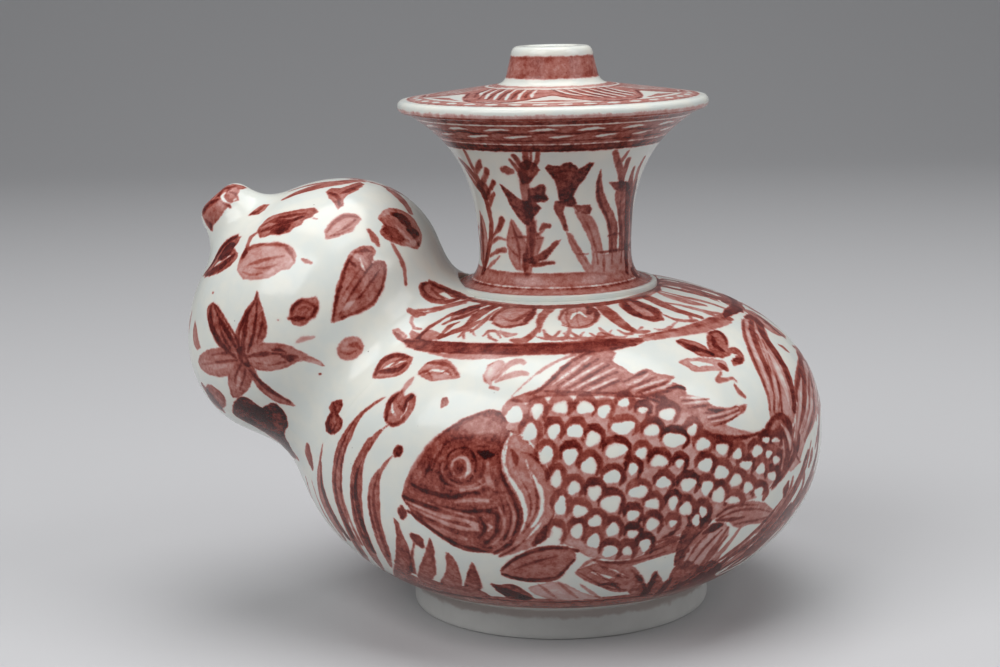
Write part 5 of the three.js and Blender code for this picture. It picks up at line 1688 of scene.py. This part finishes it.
def paint_plate(canvas):
    canvas.line_rings += [(0.75, 51, 182.4, 0.5), (0.7, 22.2, 186.4, 0.35)]
    canvas.wash_rings += [
        (0.36, 48.2, 182.8, 2.4),
        (0.48, 34, 184.8, 10.2),
        (0.54, 15.5, 193.0, 3.9),
        (0.4, 20.4, 186.7, 1.2),
        (0.7, 53.6, 177.9, 1.4),
        (0.26, 54.1, 179.2, 0.9),
    ]
    for k in range(PETALS):
        middle = -60 + k * 360 / PETALS
        swing = np.array([-30, -22, -12, 0, 12, 22, 30])
        wave = on_plate(middle + swing, [33, 38, 44, 45.5, 44, 38, 33])
        canvas.trace(0.85, (0.4, 0.7, 0.4), wave)
        outer = on_plate(middle + 30 + np.array([-17, -8, 0, 8, 17]), [44.2, 40.5, 38, 40.5, 44.2])
        canvas.trace(1, (0.7, 2.0, 3.2, 2.0, 0.7), outer, spared=True)
        for lean, reach in ((-17, 38), (-11, 40.5), (-5, 41.5), (1, 41.5), (7, 40.5), (13, 38)):
            turns = middle + lean * np.array([1.5, 1.25, 1.0]) + np.array([-5, -2, 3])
            canvas.trace(0.8, (0.25, 0.6, 0.25), on_plate(turns, [24, 32, reach]))
            canvas.trace(1, (0.3, 0.75, 0.4), on_plate(turns + 3.2, [25, 32, reach - 1]), spared=True)
        for lean in np.arange(-25, 30, 10):
            dot = on_plate(middle + lean + np.array([-2, 0, 2]), 48.2)
            canvas.trace(1, (0.7, 1.2, 0.7), dot, spared=True)


def paint_foot(canvas):
    # A darker band round the top of the foot: partly a wash run down from the hem, partly painted shade
    # under the belly
    canvas.wash_rings += [(0.4, 54.2, 9.9, 2.2)]


class Tint:
    """A value in a material: arithmetic on it adds the Math nodes."""

    def __init__(self, finish, socket):
        self.finish = finish
        self.socket = socket

    def maths(self, operation, *values):
        settings = {"operation": operation}
        return self.finish.node("ShaderNodeMath", settings, dict(enumerate((self, *values))))

    def __add__(self, other):
        return self.maths("ADD", other)

    __radd__ = __add__

    def __sub__(self, other):
        return self.maths("SUBTRACT", other)

    def __rsub__(self, other):
        return self.maths("MULTIPLY_ADD", -1, other)

    def __mul__(self, other):
        return self.maths("MULTIPLY", other)

    def step(self, low, high, start=0.0, end=1.0):
        """A smooth change from start to end as the value goes from low to high."""
        settings = {"interpolation_type": "SMOOTHSTEP"}
        return self.finish.node("ShaderNodeMapRange", settings, {0: self, 1: low, 2: high, 3: start, 4: end})


class Finish:
    """A material under construction."""

    def __init__(self, name, **constants):
        self.material = bpy.data.materials.new(name)
        self.material.use_nodes = True
        self.nodes = self.material.node_tree.nodes
        self.links = self.material.node_tree.links
        self.shader = self.nodes["Principled BSDF"]
        for socket, value in constants.items():
            self.shader.inputs[socket.replace("_", " ")].default_value = value

    def node(self, kind, settings, inputs, output=0):
        made = self.nodes.new(kind)
        for key, value in settings.items():
            if key == "stops":
                self.set_stops(made.color_ramp, value)
            else:
                setattr(made, key, value)
        for key, value in inputs.items():
            if isinstance(value, Tint):
                self.links.new(value.socket, made.inputs[key])
            else:
                made.inputs[key].default_value = value
        return Tint(self, made.outputs[output])

    def set_stops(self, ramp, stops):
        while len(ramp.elements) < len(stops):
            ramp.elements.new(1)
        for element, (place, colour) in zip(ramp.elements, stops):
            element.position = place
            element.color = (*colour, 1)

    def attribute(self, name):
        return self.node("ShaderNodeAttribute", {"attribute_name": name}, {}, "Fac")

    def place(self):
        return self.node("ShaderNodeTexCoord", {}, {}, "Object")

    def noise(self, size, detail=2, roughness=0.5):
        """Noise whose lumps are about size millimetres across, from 0 to 1 about 0.5."""
        values = {"Vector": self.place(), "Scale": 1 / size / MM, "Detail": detail, "Roughness": roughness}
        return self.node("ShaderNodeTexNoise", {}, values, "Fac")

    def mix(self, share, first, second):
        return self.node("ShaderNodeMix", {"data_type": "RGBA"}, {0: share, 6: first, 7: second}, 2)

    def ramp(self, value, stops):
        return self.node("ShaderNodeValToRGB", {"stops": stops}, {0: value})

    def feed(self, **sockets):
        for socket, value in sockets.items():
            self.links.new(value.socket, self.shader.inputs[socket.replace("_", " ")])

    def bump(self, height, depth):
        """Relief whose height of 1 stands depth millimetres proud."""
        values = {"Height": height, "Distance": depth * MM, "Strength": 1}
        return self.node("ShaderNodeBump", {}, values)


def copper_red_glaze():
    glaze = Finish("copper_red_glaze", Roughness=0.16, IOR=1.47, Specular_IOR_Level=0.31)
    wobble = (glaze.noise(2.6, 3) - 0.5) * 1.1 + (glaze.noise(0.7, 2) - 0.5) * 0.5
    ink = glaze.attribute("ink") + wobble
    wash = glaze.attribute("wash") + wobble
    mottle = glaze.noise(1.5, 5, 0.62)
    cloud = glaze.noise(9, 3, 0.5)
    pool = glaze.noise(4.5, 3, 0.55)
    grain = glaze.noise(0.45, 2, 0.6)
    ink_here = ink.step(0.42, -0.5)
    wash_here = wash.step(0.38, -0.46)
    pooled = wash.step(-1.8, -0.3) * wash_here
    strength = mottle.step(0.28, 0.72, 0.74, 1.18) * pool.step(0.3, 0.7, 0.82, 1.16)
    washed = wash_here * glaze.attribute("wash_tone") * strength + pooled * 0.09
    lined = ink_here * glaze.attribute("ink_tone") * pool.step(0.3, 0.7, 0.76, 1.12)
    lined = lined * mottle.step(0.25, 0.75, 0.84, 1.08)
    halo = ink.step(1.5, 0.0) * 0.07 + wash.step(1.4, 0.0) * 0.06
    amount = 1 - (1 - washed * 0.8) * (1 - lined * 0.8) * (1 - halo * cloud.step(0.35, 0.65))
    thinned = (glaze.attribute("thinned") + wobble * 0.6).step(0.45, -0.5) * glaze.attribute("thinned_by")
    amount = amount * (1 - thinned * pool.step(0.25, 0.7, 1.12, 0.75))
    specks = glaze.noise(0.55, 1, 0.5).step(0.69, 0.74) * (amount * 1.2 + 0.04)
    amount = amount + (grain - 0.5) * amount * 0.4 + specks * 0.3
    red = glaze.ramp(amount, COPPER_REDS)
    body = glaze.mix(cloud.step(0.3, 0.7), GLAZE_COOL, GLAZE_WARM)
    colour = glaze.mix(amount.step(0.0, 0.16), body, red)
    cells = {"Vector": glaze.place(), "Scale": 1 / SPOT_SPACING / MM}
    dots = glaze.node("ShaderNodeTexVoronoi", {"feature": "F1"}, cells, "Distance")
    iron = dots.step(0.045, 0.02) * glaze.noise(5, 0).step(0.45, 0.6)
    colour = glaze.mix(iron * 0.75, colour, IRON_SPOT)
    glaze.feed(Base_Color=colour, Roughness=0.12 + amount * 0.12 + grain * 0.06)
    ripple = glaze.noise(14, 2) * 0.6 + glaze.noise(3.2, 2) * 0.09
    pits = dots.step(0.05, 0.0) * -0.12
    glaze.feed(Normal=glaze.bump(ripple + pits, 0.35))
    return glaze.material


def wiped_clay():
    clay = Finish("wiped_clay", Roughness=0.4, IOR=1.45)
    cloud = clay.noise(12, 3, 0.55)
    grain = clay.noise(0.6, 3, 0.6)
    colour = clay.mix(cloud.step(0.35, 0.7), CLAY_PALE, CLAY_DULL)
    stain = clay.noise(3, 3, 0.7).step(0.68, 0.8)
    colour = clay.mix(stain * 0.25, colour, CLAY_STAIN)
    # The foot's darker band: partly a wash, partly painted shade under the belly
    wash = clay.attribute("wash") + (clay.noise(5, 3) - 0.5) * 4
    colour = clay.mix(wash.step(0.8, -0.8) * 0.5, colour, CLAY_WASH_AND_SHADE)
    clay.feed(Base_Color=colour, Roughness=0.26 + cloud * 0.2)
    clay.feed(Normal=clay.bump(cloud * 0.5 + grain * 0.06, 0.3))
    return clay.material


def wear(piece, finish):
    piece.data.materials.clear()
    piece.data.materials.append(finish)


def make_camera():
    data = bpy.data.cameras.new("picture_camera")
    data.sensor_width = SENSOR_WIDTH
    data.lens = FOCAL_PIXELS * SENSOR_WIDTH / FRAME_WIDTH
    data.clip_start = NEAREST_SEEN
    camera = bpy.data.objects.new("picture_camera", data)
    bpy.context.collection.objects.link(camera)
    turn = Matrix(np.column_stack([RIGHT, UP, -FORWARD]).tolist()).to_4x4()
    camera.matrix_world = Matrix.Translation(Vector((EYE + [AXIS, 0, 0]) * MM)) @ turn
    bpy.context.scene.camera = camera


def make_lamp(name, place, size, power):
    """A soft lamp at a place in millimetres, aimed at the middle of the pot."""
    data = bpy.data.lights.new(name, "AREA")
    data.shape = "RECTANGLE"
    data.size, data.size_y = size[0] * MM, size[1] * MM
    data.energy = power
    lamp = bpy.data.objects.new(name, data)
    bpy.context.collection.objects.link(lamp)
    aim = Vector((0, 0, 100)) - Vector(place)
    turn = aim.to_track_quat("-Z", "Y").to_matrix().to_4x4()
    lamp.matrix_world = Matrix.Translation(Vector(place) * MM) @ turn


def make_stage():
    """Plain paper that lies under the pot and bends up behind it, with soft lamps and pale air."""
    bpy.ops.object.select_all(action="DESELECT")
    bpy.ops.mesh.primitive_plane_add(size=FLOOR_SIDE, location=(0, 0, 0))
    floor = bpy.context.object
    floor.name = "studio_floor"
    bpy.ops.object.mode_set(mode="EDIT")
    bpy.ops.mesh.select_mode(type="EDGE")
    bpy.ops.mesh.select_all(action="DESELECT")
    bpy.ops.object.mode_set(mode="OBJECT")
    for edge in floor.data.edges:
        edge.select = all(floor.data.vertices[k].co.y > 0 for k in edge.vertices)
    bpy.ops.object.mode_set(mode="EDIT")
    bpy.ops.mesh.extrude_region_move(TRANSFORM_OT_translate={"value": (0, 0, WALL_RISE)})
    bpy.ops.mesh.select_all(action="SELECT")
    bpy.ops.mesh.select_non_manifold(extend=False)
    bpy.ops.mesh.select_all(action="INVERT")
    bpy.ops.mesh.bevel(offset=WALL_BEND, segments=BEND_STEPS)
    bpy.ops.object.mode_set(mode="OBJECT")
    bpy.ops.object.shade_smooth()
    paper = Finish("studio_paper", Roughness=0.6)
    paper.shader.inputs["Base Color"].default_value = PAPER_GREY
    wear(floor, paper.material)
    world = bpy.data.worlds.new("studio_air")
    world.use_nodes = True
    air = world.node_tree.nodes["Background"]
    air.inputs["Color"].default_value = AIR_GREY
    air.inputs["Strength"].default_value = AIR_GLOW
    bpy.context.scene.world = world
    make_lamp("left_softbox", (-1000, -1000, 1500), (1400, 1200), 27)
    make_lamp("right_softbox", (1200, -500, 1100), (900, 900), 9)
    make_lamp("top_softbox", (100, 100, 1500), (1300, 1000), 16)


bpy.context.scene.view_settings.view_transform = "Standard"
make_camera()
make_stage()

lower_belly = make_lower_belly()
upper_belly = make_upper_belly()
bulb = make_bulb()
nipple = make_tip()
foot = make_foot()
ledge = make_ledge()
neck = make_neck()
plate = make_plate()
collar = make_collar()

body_canvas = Canvas(lower_belly, upper_belly, bulb, nipple)
neck_canvas = Canvas(neck)
plate_canvas = Canvas(plate, collar, two_sided=False)
paint_body(body_canvas)
paint_neck(neck_canvas)
paint_plate(plate_canvas)
foot_canvas = Canvas(foot, two_sided=False)
paint_foot(foot_canvas)

for piece in (lower_belly, upper_belly):
    paint(piece, body_canvas, BELLY_REACHES)
for piece in (bulb, nipple):
    paint(piece, body_canvas, SPOUT_REACHES)
for piece in (neck, ledge):
    paint(piece, neck_canvas, NECK_REACHES)
for piece in (plate, collar):
    paint(piece, plate_canvas, PLATE_REACHES)
paint(foot, foot_canvas, ())

red_glaze = copper_red_glaze()
bare_clay = wiped_clay()
STAND_INS = {
    foot: "foot_ring",
    lower_belly: "lower_body",
    upper_belly: "upper_body",
    ledge: "neck_ring",
    neck: "neck",
    plate: "mouth_plate",
    collar: "mouth_collar",
    bulb: "spout_bulb",
    nipple: "spout_tip",
}
for piece, node in STAND_INS.items():
    is_foot = piece is foot
    wear(piece, bare_clay if is_foot else red_glaze)
    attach(piece, "root")
    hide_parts(node)
